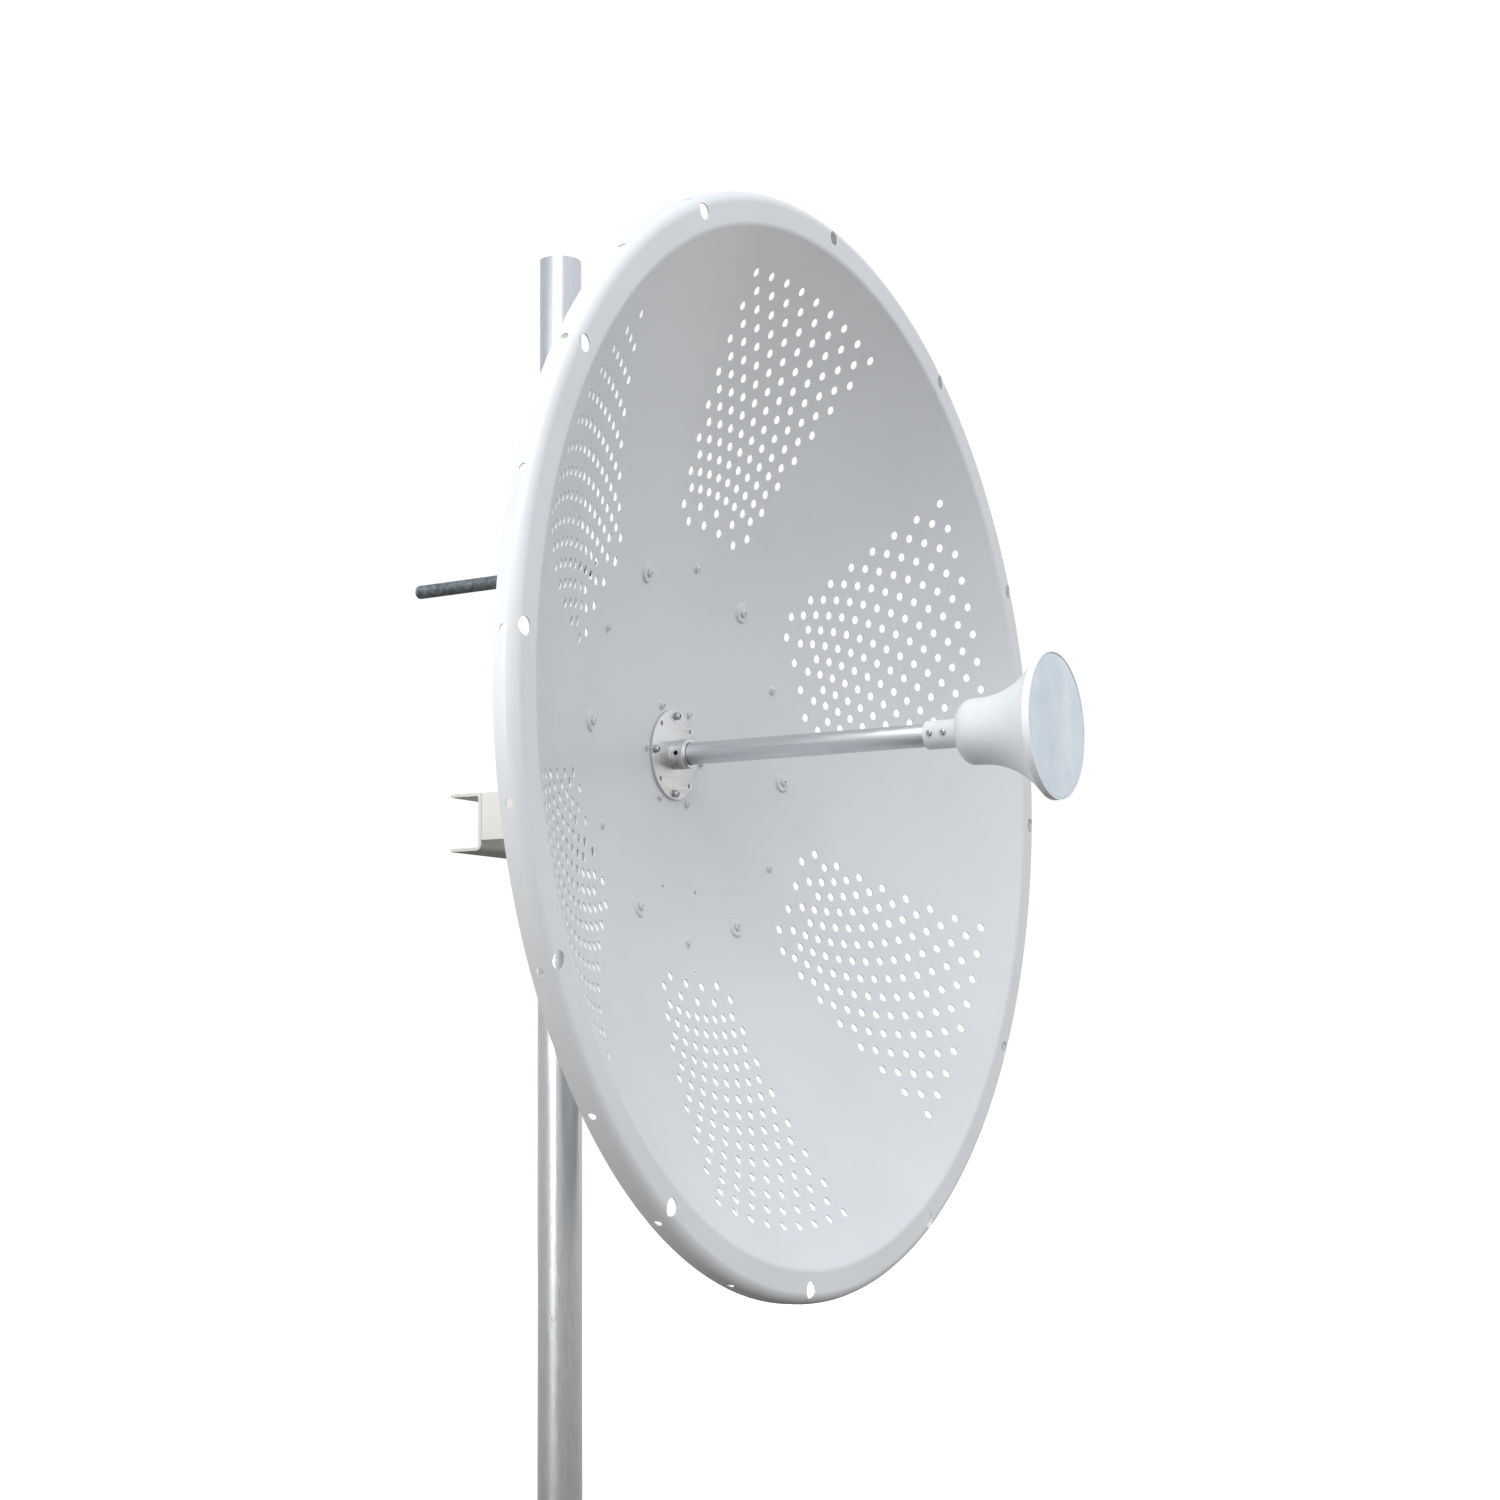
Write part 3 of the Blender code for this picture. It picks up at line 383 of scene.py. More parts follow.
def hexagon(across, thick, hole=0.0, m=None, both=True, per=8, washer=0.0):
    """A chamfered nut, or a bolt head when hole is 0, standing on local Z = 0."""
    segs = 6 * per
    half = across / 2
    cham = half * 0.985
    rise = math.tan(rad(30))
    c = (half / math.cos(rad(30)) - cham) * rise
    base = washer
    zs = [0.0, 0.0] if washer else []
    rows, verts = [], []

    def ring(fn, z):
        row = []
        for k in range(segs):
            t = 2 * math.pi * k / segs
            r = fn(t)
            row.append(len(verts))
            verts.append((r * math.cos(t), r * math.sin(t), z))
        rows.append(row)

    def flat(t):
        return half / math.cos((t + rad(30)) % rad(60) - rad(30))

    if washer:
        ring(lambda t: half * 0.94, 0.0)
        ring(lambda t: half * 0.94, washer)
    levels = [0, 0.33, 0.66, 1.0]
    if both:
        for q in levels:
            ring(lambda t, q=q: min(flat(t), cham + c * q / rise), base + c * q)
    else:
        ring(flat, base)
    for q in reversed(levels):
        ring(lambda t, q=q: min(flat(t), cham + c * q / rise), thick - c * q)
    faces = []
    for a, b in zip(rows, rows[1:]):
        faces += [[a[k], a[(k + 1) % segs], b[(k + 1) % segs], b[k]] for k in range(segs)]
    if hole > 0:
        bore = []
        lip = min(0.0006, (half - hole) * 0.3)
        for r, z in ((hole + lip, thick), (hole, thick - lip), (hole, lip), (hole + lip, 0.0)):
            row = list(range(len(verts), len(verts) + segs))
            verts += [(r * math.cos(2 * math.pi * k / segs), r * math.sin(2 * math.pi * k / segs), z)
                      for k in range(segs)]
            bore.append(row)
        chain = [rows[-1]] + bore + [rows[0]]
        for a, b in zip(chain, chain[1:]):
            faces += [[a[k], a[(k + 1) % segs], b[(k + 1) % segs], b[k]] for k in range(segs)]
    else:
        faces.append(list(rows[-1]))
        faces.append(list(rows[0]))
    s = (verts, faces)
    return moved(s, m) if m is not None else s


def thread(radius, pitch, depth, z0, z1, m=None, segs=24, chamfer=0.0):
    """A screw thread on local Z with flat ends; crest and root rows follow the helix."""
    lo, hi = z0 / pitch, z1 / pitch
    first, last = math.floor(lo * 2) - 2, math.ceil(hi * 2)
    verts, rows = [], {}
    for i in range(first, last + 1):
        row = []
        for k in range(segs):
            z = (i / 2 + k / segs) * pitch
            r = radius if i % 2 == 0 else radius - depth
            z = min(max(z, z0), z1)
            if chamfer:
                edge = min(z - z0, z1 - z)
                r = min(r, radius - depth + max(0.0, edge) * depth / chamfer)
            if z in (z0, z1):
                r = radius - depth
            t = 2 * math.pi * k / segs
            row.append(len(verts))
            verts.append((r * math.cos(t), r * math.sin(t), z))
        rows[i] = row
    faces = []
    for i in range(first, last):
        a, b = rows[i], rows[i + 1]
        for k in range(segs - 1):
            faces.append([a[k], a[k + 1], b[k + 1], b[k]])
        # the seam joins the end of a row to the start of the row one turn up
        if i + 2 in rows and i + 3 in rows:
            faces.append([a[-1], rows[i + 2][0], rows[i + 3][0], b[-1]])
    bottom = rows[first]
    s = (verts, faces)
    return moved(s, m) if m is not None else s


def pipe(points, radius, segs=20, m=None):
    """A round bar along a smooth line of points, capped, with a plane-stable frame."""
    pts = [Vector(p) for p in points]
    verts, faces = [], []
    up = Vector((0, 0, 1))
    n = len(pts)
    for i, p in enumerate(pts):
        d = (pts[min(i + 1, n - 1)] - pts[max(i - 1, 0)]).normalized()
        side = d.cross(up)
        side = side.normalized() if side.length > 1e-6 else Vector((1, 0, 0))
        top = side.cross(d).normalized()
        for k in range(segs):
            t = 2 * math.pi * k / segs
            verts.append(p + side * (radius * math.cos(t)) + top * (radius * math.sin(t)))
    for i in range(n - 1):
        for k in range(segs):
            j = (k + 1) % segs
            faces.append([i * segs + k, i * segs + j, (i + 1) * segs + j, (i + 1) * segs + k])
    faces.append(list(range(segs)))
    faces.append(list(range((n - 1) * segs, n * segs)))
    s = (verts, faces)
    return moved(s, m) if m is not None else s


def sheet_plate(outlines, thick, m, bevel=0.0005, steps=2):
    """A flat plate from 2-D outlines, holes included, with rolled edges; centred on local Z = 0."""
    cu = bpy.data.curves.new("outline", 'CURVE')
    cu.dimensions = '2D'
    cu.fill_mode = 'BOTH'
    cu.extrude = thick / 2 - bevel
    cu.bevel_depth = bevel
    cu.bevel_resolution = steps - 1
    cu.offset = -bevel
    for line in outlines:
        sp = cu.splines.new('POLY')
        sp.points.add(len(line) - 1)
        for q, (x, y) in zip(sp.points, line):
            q.co = (x, y, 0, 1)
        sp.use_cyclic_u = True
    ob = bpy.data.objects.new("outline", cu)
    scene.collection.objects.link(ob)
    dg = bpy.context.evaluated_depsgraph_get()
    me = bpy.data.meshes.new_from_object(ob.evaluated_get(dg))
    verts = [m @ v.co for v in me.vertices]
    faces = [list(p.vertices) for p in me.polygons]
    bpy.data.objects.remove(ob)
    bpy.data.curves.remove(cu)
    bpy.data.meshes.remove(me)
    return verts, faces


def circle(radius, n, x=0.0, y=0.0):
    return [(x + radius * math.cos(2 * math.pi * i / n), y + radius * math.sin(2 * math.pi * i / n))
            for i in range(n)]


def piece(name, shells, material, body, nodes=(), sharp=32, weld=1e-6):
    """Joins shells into one shown object that rides a body and stands for CAD nodes."""
    bm = bmesh.new()
    for verts, faces in shells:
        vs = [bm.verts.new(v) for v in verts]
        for f in faces:
            try:
                bm.faces.new([vs[i] for i in f])
            except ValueError:
                pass
    bmesh.ops.remove_doubles(bm, verts=bm.verts, dist=weld)
    bmesh.ops.dissolve_degenerate(bm, edges=bm.edges, dist=weld)
    loose = [v for v in bm.verts if not v.link_faces]
    bmesh.ops.delete(bm, geom=loose, context='VERTS')
    holes = [e for e in bm.edges if e.is_boundary]
    if holes:
        bmesh.ops.holes_fill(bm, edges=holes, sides=0)
    bmesh.ops.recalc_face_normals(bm, faces=bm.faces)
    for f in bm.faces:
        f.smooth = True
    for e in bm.edges:
        if len(e.link_faces) == 2 and e.calc_face_angle(0.0) > rad(sharp):
            e.smooth = False
    me = bpy.data.meshes.new(name)
    bm.to_mesh(me)
    bm.free()
    me.materials.append(material)
    ob = bpy.data.objects.new(name, me)
    scene.collection.objects.link(ob)
    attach(ob, body)
    if nodes:
        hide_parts(*nodes)
    return ob


def cut_from(ob, shells):
    """Takes shells away from a finished piece and keeps its edges crisp."""
    bm = bmesh.new()
    for verts, faces in shells:
        vs = [bm.verts.new(v) for v in verts]
        for f in faces:
            bm.faces.new([vs[i] for i in f])
    bmesh.ops.recalc_face_normals(bm, faces=bm.faces)
    me = bpy.data.meshes.new("cutter")
    bm.to_mesh(me)
    bm.free()
    tool = bpy.data.objects.new("cutter", me)
    scene.collection.objects.link(tool)
    mod = ob.modifiers.new("cut", 'BOOLEAN')
    mod.operation = 'DIFFERENCE'
    mod.solver = 'EXACT'
    mod.object = tool
    dg = bpy.context.evaluated_depsgraph_get()
    new = bpy.data.meshes.new_from_object(ob.evaluated_get(dg))
    ob.modifiers.clear()
    old = ob.data
    ob.data = new
    bpy.data.meshes.remove(old)
    bpy.data.objects.remove(tool)
    bpy.data.meshes.remove(me)
    bm = bmesh.new()
    bm.from_mesh(new)
    for f in bm.faces:
        f.smooth = True
    for e in bm.edges:
        e.smooth = not (len(e.link_faces) == 2 and e.calc_face_angle(0.0) > rad(32))
    bm.to_mesh(new)
    bm.free()


def refined(name, node, material, body, width=0.0006, steps=2, angle=25):
    """A copy of a CAD node with its flat facets joined and its edges rolled."""
    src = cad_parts[node].data
    bm = bmesh.new()
    bm.from_mesh(src)
    bmesh.ops.remove_doubles(bm, verts=bm.verts, dist=2e-6)
    bmesh.ops.dissolve_limit(bm, angle_limit=rad(0.6), verts=bm.verts, edges=bm.edges)
    edges = [e for e in bm.edges if len(e.link_faces) == 2 and e.calc_face_angle(0.0) > rad(angle)]
    bmesh.ops.bevel(bm, geom=edges, offset=width, offset_type='OFFSET', segments=steps, profile=0.5,
                    affect='EDGES', clamp_overlap=True)
    bmesh.ops.recalc_face_normals(bm, faces=bm.faces)
    for f in bm.faces:
        f.smooth = True
        f.material_index = 0
    for e in bm.edges:
        e.smooth = not (len(e.link_faces) == 2 and e.calc_face_angle(0.0) > rad(32))
    me = bpy.data.meshes.new(name)
    bm.to_mesh(me)
    bm.free()
    me.materials.append(material)
    ob = bpy.data.objects.new(name, me)
    scene.collection.objects.link(ob)
    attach(ob, body)
    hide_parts(node)
    return ob


# ------------------------------------------------------------- bowl's geometry
def dish_z(r):
    r = np.maximum(r, SEAT_R)
    return r * r / (4 * FOCAL) + C4 * r ** 4


def dish_slope(r):
    return np.where(np.asarray(r) < SEAT_R, 0.0, np.asarray(r) / (2 * FOCAL) + 4 * C4 * np.asarray(r) ** 3)


PHI0 = math.atan(float(dish_slope(BEND_START_R)))
L_BEND = BEND_RADIUS * PHI0
LIP_START_R = BEND_START_R + BEND_RADIUS * math.sin(PHI0)
LIP_Z = float(dish_z(BEND_START_R)) + BEND_RADIUS * (1 - math.cos(PHI0))
L_LIP = LIP_END_R - LIP_START_R
L_SHOULDER = SHOULDER_RADIUS * math.pi / 2
L_WALL = LIP_Z - SHOULDER_RADIUS - WALL_BACK_Z
S1 = BEND_START_R + L_BEND
S2 = S1 + L_LIP
S3 = S2 + L_SHOULDER
S4 = S3 + L_WALL


def unrolled(rho):
    """Front line of the pressing by its unrolled radius: radius, height, heading."""
    rho = np.asarray(rho, float)
    r = rho.copy()
    z = dish_z(rho)
    phi = np.arctan(dish_slope(rho))
    m = (rho > BEND_START_R) & (rho <= S1)
    a = PHI0 - (rho[m] - BEND_START_R) / BEND_RADIUS
    r[m] = BEND_START_R + BEND_RADIUS * (math.sin(PHI0) - np.sin(a))
    z[m] = float(dish_z(BEND_START_R)) + BEND_RADIUS * (np.cos(a) - math.cos(PHI0))
    phi[m] = a
    m = (rho > S1) & (rho <= S2)
    r[m] = LIP_START_R + rho[m] - S1
    z[m] = LIP_Z
    phi[m] = 0.0
    m = (rho > S2) & (rho <= S3)
    a = (rho[m] - S2) / SHOULDER_RADIUS
    r[m] = LIP_END_R + SHOULDER_RADIUS * np.sin(a)
    z[m] = LIP_Z - SHOULDER_RADIUS * (1 - np.cos(a))
    phi[m] = -a
    m = rho > S3
    r[m] = LIP_END_R + SHOULDER_RADIUS
    z[m] = LIP_Z - SHOULDER_RADIUS - (rho[m] - S3)
    phi[m] = -math.pi / 2
    return r, z, phi


def unroll_r(r):
    """Unrolled radius of a point of the lip or shoulder at radius r."""
    if r <= BEND_START_R:
        return r
    if r <= LIP_START_R:
        a = math.asin(math.sin(PHI0) - (r - BEND_START_R) / BEND_RADIUS)
        return BEND_START_R + BEND_RADIUS * (PHI0 - a)
    if r <= LIP_END_R:
        return S1 + r - LIP_START_R
    return S2 + SHOULDER_RADIUS * math.asin(min(1.0, (r - LIP_END_R) / SHOULDER_RADIUS))


# six fans of round holes, each of sixteen rows
FAN_CENTRES = [rad(v) for v in (25.83, 83.65, 144.95, 204.75, 264.85, 324.1)]
FAN_LEANS = [rad(v) for v in (0.80, 0.75, 0.75, 0.55, 0.50, 0.60)]
FAN_ROWS = 16
FAN_FIRST, FAN_LAST = 0.2622, 0.5210
PERF_R = 0.00525

# raised seats under the screws: (radius, angle, flat top, foot, height)
SEATS = []
for k in range(6):
    SEATS.append((FRAME_SCREW_R, SCREW_ROLL + rad(60 * k), 0.0100, 0.0124, 0.0028))
    SEATS.append((FRAME_SCREW_R, SCREW_ROLL + rad(30 + 60 * k), 0.0050, 0.0064, 0.0012))
    SEATS.append((HUB_SCREW_R, SCREW_ROLL + rad(60 * k), 0.0046, 0.0062, 0.0010))


def build_reflector():
    """The pressing as one clean skin: flat pattern first, then formed to shape."""
    pts, edges, label = [], [], []

    def loop(points, tag):
        base = len(pts)
        pts.extend(points)
        label.extend([tag] * len(points))
        edges.extend((base + i, base + (i + 1) % len(points)) for i in range(len(points)))

    holes = []                                 # centre and reach, to keep the grid clear

    def surface_circle(rho, ang, radius, n, tag, phase=0.0):
        cosphi = math.cos(math.atan(float(dish_slope(rho)))) if rho < BEND_START_R else 1.0
        line = []
        for i in range(n):
            t = 2 * math.pi * (i + phase) / n
            a = rho + radius * cosphi * math.cos(t)
            b = ang + radius * math.sin(t) / rho
            line.append((a * math.cos(b), a * math.sin(b)))
        loop(line, tag)
        holes.append((rho * math.cos(ang), rho * math.sin(ang), radius))

    tag = 0
    for row in range(FAN_ROWS):
        u = row / (FAN_ROWS - 1)
        r = FAN_FIRST + (FAN_LAST - FAN_FIRST) * (u + 0.012 * math.sin(math.pi * u))
        pitch = rad(3.775 + 0.175 * u)
        if row == 0:
            steps = (-3, -1, 1, 3)
        elif row == 1:
            steps = (-4, -2, 0, 2, 4)
        elif row % 2:
            steps = tuple(range(-4, 5))
        else:
            steps = tuple(q + 0.5 for q in range(-4, 4))
        for c, lean in zip(FAN_CENTRES, FAN_LEANS):
            skew = lean * (1 - u) ** 2
            for s in steps:
                surface_circle(r, c + s * pitch + skew, PERF_R, 14, tag)
                tag += 1
    for k in range(LIP_HOLES):                 # bored straight through lip and shoulder
        a = ROLL + 2 * math.pi * k / LIP_HOLES
        line = []
        for i in range(36):
            t = 2 * math.pi * i / 36
            x = LIP_HOLE_R + LIP_HOLE_DIA / 2 * math.cos(t)
            y = LIP_HOLE_DIA / 2 * math.sin(t)
            r, b = math.hypot(x, y), a + math.atan2(y, x)
            q = unroll_r(r)
            line.append((q * math.cos(b), q * math.sin(b)))
        loop(line, tag)
        q = unroll_r(LIP_HOLE_R)
        holes.append((q * math.cos(a), q * math.sin(a), LIP_HOLE_DIA / 2 + 0.001))
        tag += 1
    for k in range(24):                        # small drain holes round the wall
        a = rad(-3.9 + 15 * k)
        rr = LIP_END_R + SHOULDER_RADIUS
        line = []
        for i in range(20):
            t = 2 * math.pi * i / 20
            q = S3 + 0.0004 + 0.0041 * math.cos(t)
            b = a + 0.0041 * math.sin(t) / rr
            line.append((q * math.cos(b), q * math.sin(b)))
        loop(line, tag)
        holes.append((S3 * math.cos(a), S3 * math.sin(a), 0.0045))
        tag += 1
    for x, h in ((-0.0450, -0.1520), (0.0260, -0.1550), (-0.0110, -0.2470)):
        surface_circle(math.hypot(x, h), math.atan2(h, x), 0.0021, 12, tag)
        tag += 1
    loop(circle(BORE_R, 40), tag)
    bore_tag = tag
    tag += 1

    bosses = []
    for r, a, top, foot, height in SEATS:
        bosses.append((r * math.cos(a), r * math.sin(a), foot))
        n = 28 if top > 0.006 else 20
        cosphi = math.cos(math.atan(float(dish_slope(r))))
        levels = [0.35 * top, 0.7 * top, top, top + 0.25 * (foot - top), top + 0.5 * (foot - top),
                  top + 0.75 * (foot - top), foot, foot + 0.0012]
        pts.append((r * math.cos(a), r * math.sin(a)))
        label.append(-1)
        for d in levels:
            for i in range(n):
                t = 2 * math.pi * i / n
                q = r + d * cosphi * math.cos(t)
                b = a + d * math.sin(t) / r
                pts.append((q * math.cos(b), q * math.sin(b)))
                label.append(-1)

    hx = np.array([h[0] for h in holes] + [b[0] for b in bosses])
    hy = np.array([h[1] for h in holes] + [b[1] for b in bosses])
    hr = np.array([h[2] + 0.0022 for h in holes] + [b[2] + 0.0042 for b in bosses])
    grid = [(q, 64) for q in (0.0210, 0.0300, 0.0400, 0.0480)] + [(SEAT_R - 0.0006, 96), (SEAT_R + 0.0006, 96)]
    q = 0.0660
    while q < 0.545:
        grid.append((q, 96 if q < 0.19 else 144))
        q += 0.0168
    grid += [(0.5535, 256)]
    fine = 384
    for i in range(4):
        grid.append((BEND_START_R + L_BEND * i / 3, fine))
    grid += [(S1 + L_LIP * 0.5, fine), (S2, fine)]
    for i in range(1, 7):
        grid.append((S2 + L_SHOULDER * i / 6, fine))
    for i, (q, n) in enumerate(grid):
        t = 2 * np.pi * (np.arange(n) + (0.5 if (i % 2 and n < 200) else 0.0)) / n
        gx, gy = q * np.cos(t), q * np.sin(t)
        ok = np.ones(n, bool)
        for k in range(n):
            ok[k] = not np.any((hx - gx[k]) ** 2 + (hy - gy[k]) ** 2 < hr ** 2)
        for x, y in zip(gx[ok], gy[ok]):
            pts.append((float(x), float(y)))
            label.append(-1)
    rim_tag = tag
    loop([(S4 * math.cos(2 * math.pi * k / fine), S4 * math.sin(2 * math.pi * k / fine)) for k in range(fine)],
         rim_tag)

    out = geometry.delaunay_2d_cdt([Vector(p) for p in pts], edges, [], 0, 1e-7, True)
    v2, _, f2, ov = out[0], out[1], out[2], out[3]
    uv = np.array([tuple(v) for v in v2])
    lab = np.array([label[o[0]] if o else -1 for o in ov])
    tri = np.array([f for f in f2 if len(f) == 3])
    lt = lab[tri]
    inside = (lt[:, 0] >= 0) & (lt[:, 0] == lt[:, 1]) & (lt[:, 1] == lt[:, 2]) & (lt[:, 0] != rim_tag)
    tri = tri[~inside]
    # all triangles run anticlockwise, seen from the front
    p = uv[tri]
    area = ((p[:, 1, 0] - p[:, 0, 0]) * (p[:, 2, 1] - p[:, 0, 1])
            - (p[:, 2, 0] - p[:, 0, 0]) * (p[:, 1, 1] - p[:, 0, 1]))
    tri[area < 0] = tri[area < 0][:, ::-1]
    used = np.unique(tri)
    index = -np.ones(len(uv), int)
    index[used] = np.arange(len(used))
    uv, lab, tri = uv[used], lab[used], index[tri]

    rho = np.hypot(uv[:, 0], uv[:, 1])
    th = np.arctan2(uv[:, 1], uv[:, 0])
    r, z, phi = unrolled(rho)
    pos = np.c_[r * np.cos(th), r * np.sin(th), z]
    nor = np.c_[-np.sin(phi) * np.cos(th), -np.sin(phi) * np.sin(th), np.cos(phi)]
    tangent = np.c_[np.cos(phi) * np.cos(th), np.cos(phi) * np.sin(th), np.sin(phi)]
    around = np.c_[-np.sin(th), np.cos(th), np.zeros(len(th))]
    smooth_nor = nor.copy()
    for br, ba, top, foot, height in SEATS:
        c = np.array([br * math.cos(ba), br * math.sin(ba), float(dish_z(br))])
        d = pos - c
        near = np.hypot(d[:, 0], d[:, 1]) < foot + 0.004
        dn = np.linalg.norm(d[near], axis=1)
        u = np.clip((foot - dn) / (foot - top), 0, 1)
        lift = height * u * u * (3 - 2 * u)
        grad = height * 6 * u * (1 - u) / (foot - top)       # fall of the lift with distance
        away = d[near] / np.maximum(dn, 1e-9)[:, None]
        tilt = nor[near] + grad[:, None] * away
        smooth_nor[near] = tilt / np.linalg.norm(tilt, axis=1)[:, None]
        pos[near] += nor[near] * lift[:, None]
    back = pos - smooth_nor * SHEET

    n = len(pos)
    verts = np.r_[pos, back]
    faces = [tuple(int(i) for i in t) for t in tri]
    normals = [nor_row for t in tri for nor_row in smooth_nor[t]]
    faces += [tuple(int(i) + n for i in t[::-1]) for t in tri]
    normals += [nor_row for t in tri for nor_row in -smooth_nor[t[::-1]]]
    # walls of the holes and the raw edge: every edge with one triangle
    seen = {}
    for t in tri:
        for i in range(3):
            a, b = int(t[i]), int(t[(i + 1) % 3])
            seen[(a, b)] = True
    walls = [(a, b) for (a, b) in seen if (b, a) not in seen]
    nxt = {a: b for a, b in walls}
    prv = {b: a for a, b in walls}
    edge_nor = {}
    for a, b in walls:
        out_n = []
        for v in (a, b):
            d = pos[nxt[v]] - pos[prv[v]]
            side = np.cross(d, smooth_nor[v])
            out_n.append(side / max(1e-12, np.linalg.norm(side)))
        edge_nor[(a, b)] = out_n
        faces.append((b, a, a + n, b + n))
        normals += [out_n[1], out_n[0], out_n[0], out_n[1]]
    m = np.array(DISH)
    verts = verts @ m[:3, :3].T + m[:3, 3]
    normals = np.array(normals) @ m[:3, :3].T
    me = bpy.data.meshes.new("pressing")
    me.from_pydata(verts.tolist(), [], faces)
    me.shade_smooth()
    me.normals_split_custom_set(normals.tolist())
    me.materials.append(PAINT)
    ob = bpy.data.objects.new("pressing", me)
    scene.collection.objects.link(ob)
    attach(ob, "dish")
    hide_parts("reflector")
    return ob


build_reflector()

# ------------------------------------------------------------------------ mast
piece("mast_tube",
      [lathe(soften([(MAST_R, MAST_LEN), (MAST_R, 0.0), (MAST_R - MAST_WALL, 0.0), (MAST_R - MAST_WALL, MAST_LEN)],
                    0.0008, closed=True, n=3), segs=96, closed=True)],
      GALV, "mast", ["mast_pipe"])


# ---------------------------------------------------------------- ring and plate
def behind(r, depth):
    b = math.atan(float(dish_slope(r)))
    return (r + depth * math.sin(b), float(dish_z(r)) - depth * math.cos(b))


OFF = SHEET + 0.0012
ring_line = [behind(RING_IN_R + (RING_OUT_R - RING_IN_R) * i / 4, OFF) for i in range(5)]
ring_line += [behind(RING_OUT_R - (RING_OUT_R - RING_IN_R) * i / 4, OFF + RING_T) for i in range(5)]
piece("support_ring", [lathe(soften(ring_line, 0.0008, closed=True, n=3), DISH, 144, closed=True)],
      CREAM, "dish", ["back_ring"])

SEAT_BACK = float(dish_z(0.0)) - SHEET
piece("centre_plate",
      [lathe(soften([(BORE_R, SEAT_BACK - GAP), (HUB_PLATE_R, SEAT_BACK - GAP), (HUB_PLATE_R, SEAT_BACK - GAP - 0.004),
                     (BORE_R, SEAT_BACK - GAP - 0.004)], 0.0007, closed=True, n=3), DISH, 96, closed=True)],
      CREAM, "dish", ["hub_plate"])


# ---------------------------------------------------------------------- screws
def surface_frame(r, angle, offset):
    b = math.atan(float(dish_slope(r)))
    return DISH @ Matrix.Rotation(angle, 4, 'Z') @ move(r, 0, float(dish_z(r))) \
        @ Matrix.Rotation(-b, 4, 'Y') @ move(0, 0, offset)


def domed_screw(m, head_r, head_h, socket_r, shank_r, length, segs=28):
    """A domed head with a hexagon socket, on a plain shank."""
    line = [(0.0, head_h * 0.42), (socket_r, head_h * 0.42), (socket_r, head_h)]
    for i in range(6):
        t = rad(90 * i / 5)
        line.append((socket_r * 1.25 + (head_r - socket_r * 1.25) * math.sin(t), head_h * (0.35 + 0.65 * math.cos(t))))
    line += [(head_r, head_h * 0.12), (head_r * 0.96, 0.0), (shank_r, 0.0), (shank_r, -length), (0.0, -length)]
    return lathe(line, m, segs)


def back_nut(r, angle, depth, across, thick, hole):
    """A nut on the shank behind the sheet and its ring or plate."""
    b = math.atan(float(dish_slope(r)))
    m = DISH @ Matrix.Rotation(angle, 4, 'Z') @ move(r, 0, float(dish_z(r))) \
        @ Matrix.Rotation(-b, 4, 'Y') @ move(0, 0, -depth) @ turn(180, 'X')
    return hexagon(across, thick, hole, m, per=4)


for k in range(6):
    a = SCREW_ROLL + rad(60 * k)
    piece(f"ring_screw_{k + 1}",
          [domed_screw(surface_frame(FRAME_SCREW_R, a, 0.0028), 0.0048, 0.0036, 0.0018, 0.0029, 0.0124)],
          PAINT, "dish", [f"frame_screw_large_{k + 1}"])
    piece(f"ring_nut_{k + 1}", [back_nut(FRAME_SCREW_R, a, OFF + RING_T + 0.0001, 0.0100, 0.0032, 0.0029)],
          ZINC, "dish", [])
for k in range(6):
    a = SCREW_ROLL + rad(30 + 60 * k)
    piece(f"ring_small_screw_{k + 1}",
          [domed_screw(surface_frame(FRAME_SCREW_R, a, 0.0012), 0.0037, 0.0024, 0.0014, 0.0019, 0.0098)],
          PAINT, "dish", [f"frame_screw_small_{k + 1}"])
for k in range(6):
    a = SCREW_ROLL + rad(60 * k)
    piece(f"centre_screw_{k + 1}",
          [domed_screw(surface_frame(HUB_SCREW_R, a, 0.0010), 0.0038, 0.0034, 0.0014, 0.0019, 0.0072)],
          PAINT, "dish", [f"hub_screw_{k + 1}"])

# ---------------------------------------------------------------- feed flange
FLANGE_BACK = float(dish_z(0.0)) + GAP
FLANGE_FRONT = FLANGE_BACK + FLANGE_T
HUB_FRONT = FLANGE_FRONT + HUB_LEN
bore = BOOM_R + GAP
rounds = [circle(FLANGE_R, 128), circle(bore, 64)]
for k in range(4):
    a = FEED_ROLL + rad(90 * k)
    rounds.append(circle(0.0030, 20, FLANGE_SCREW_R * math.cos(a), FLANGE_SCREW_R * math.sin(a)))
    a += rad(45)
    rounds.append(circle(0.0026, 24, FLANGE_SCREW_R * math.cos(a), FLANGE_SCREW_R * math.sin(a)))
disc = sheet_plate(rounds, FLANGE_T, DISH @ move(0, 0, (FLANGE_BACK + FLANGE_FRONT) / 2), 0.0003)
GROOVE_Z = FLANGE_FRONT + 0.0045
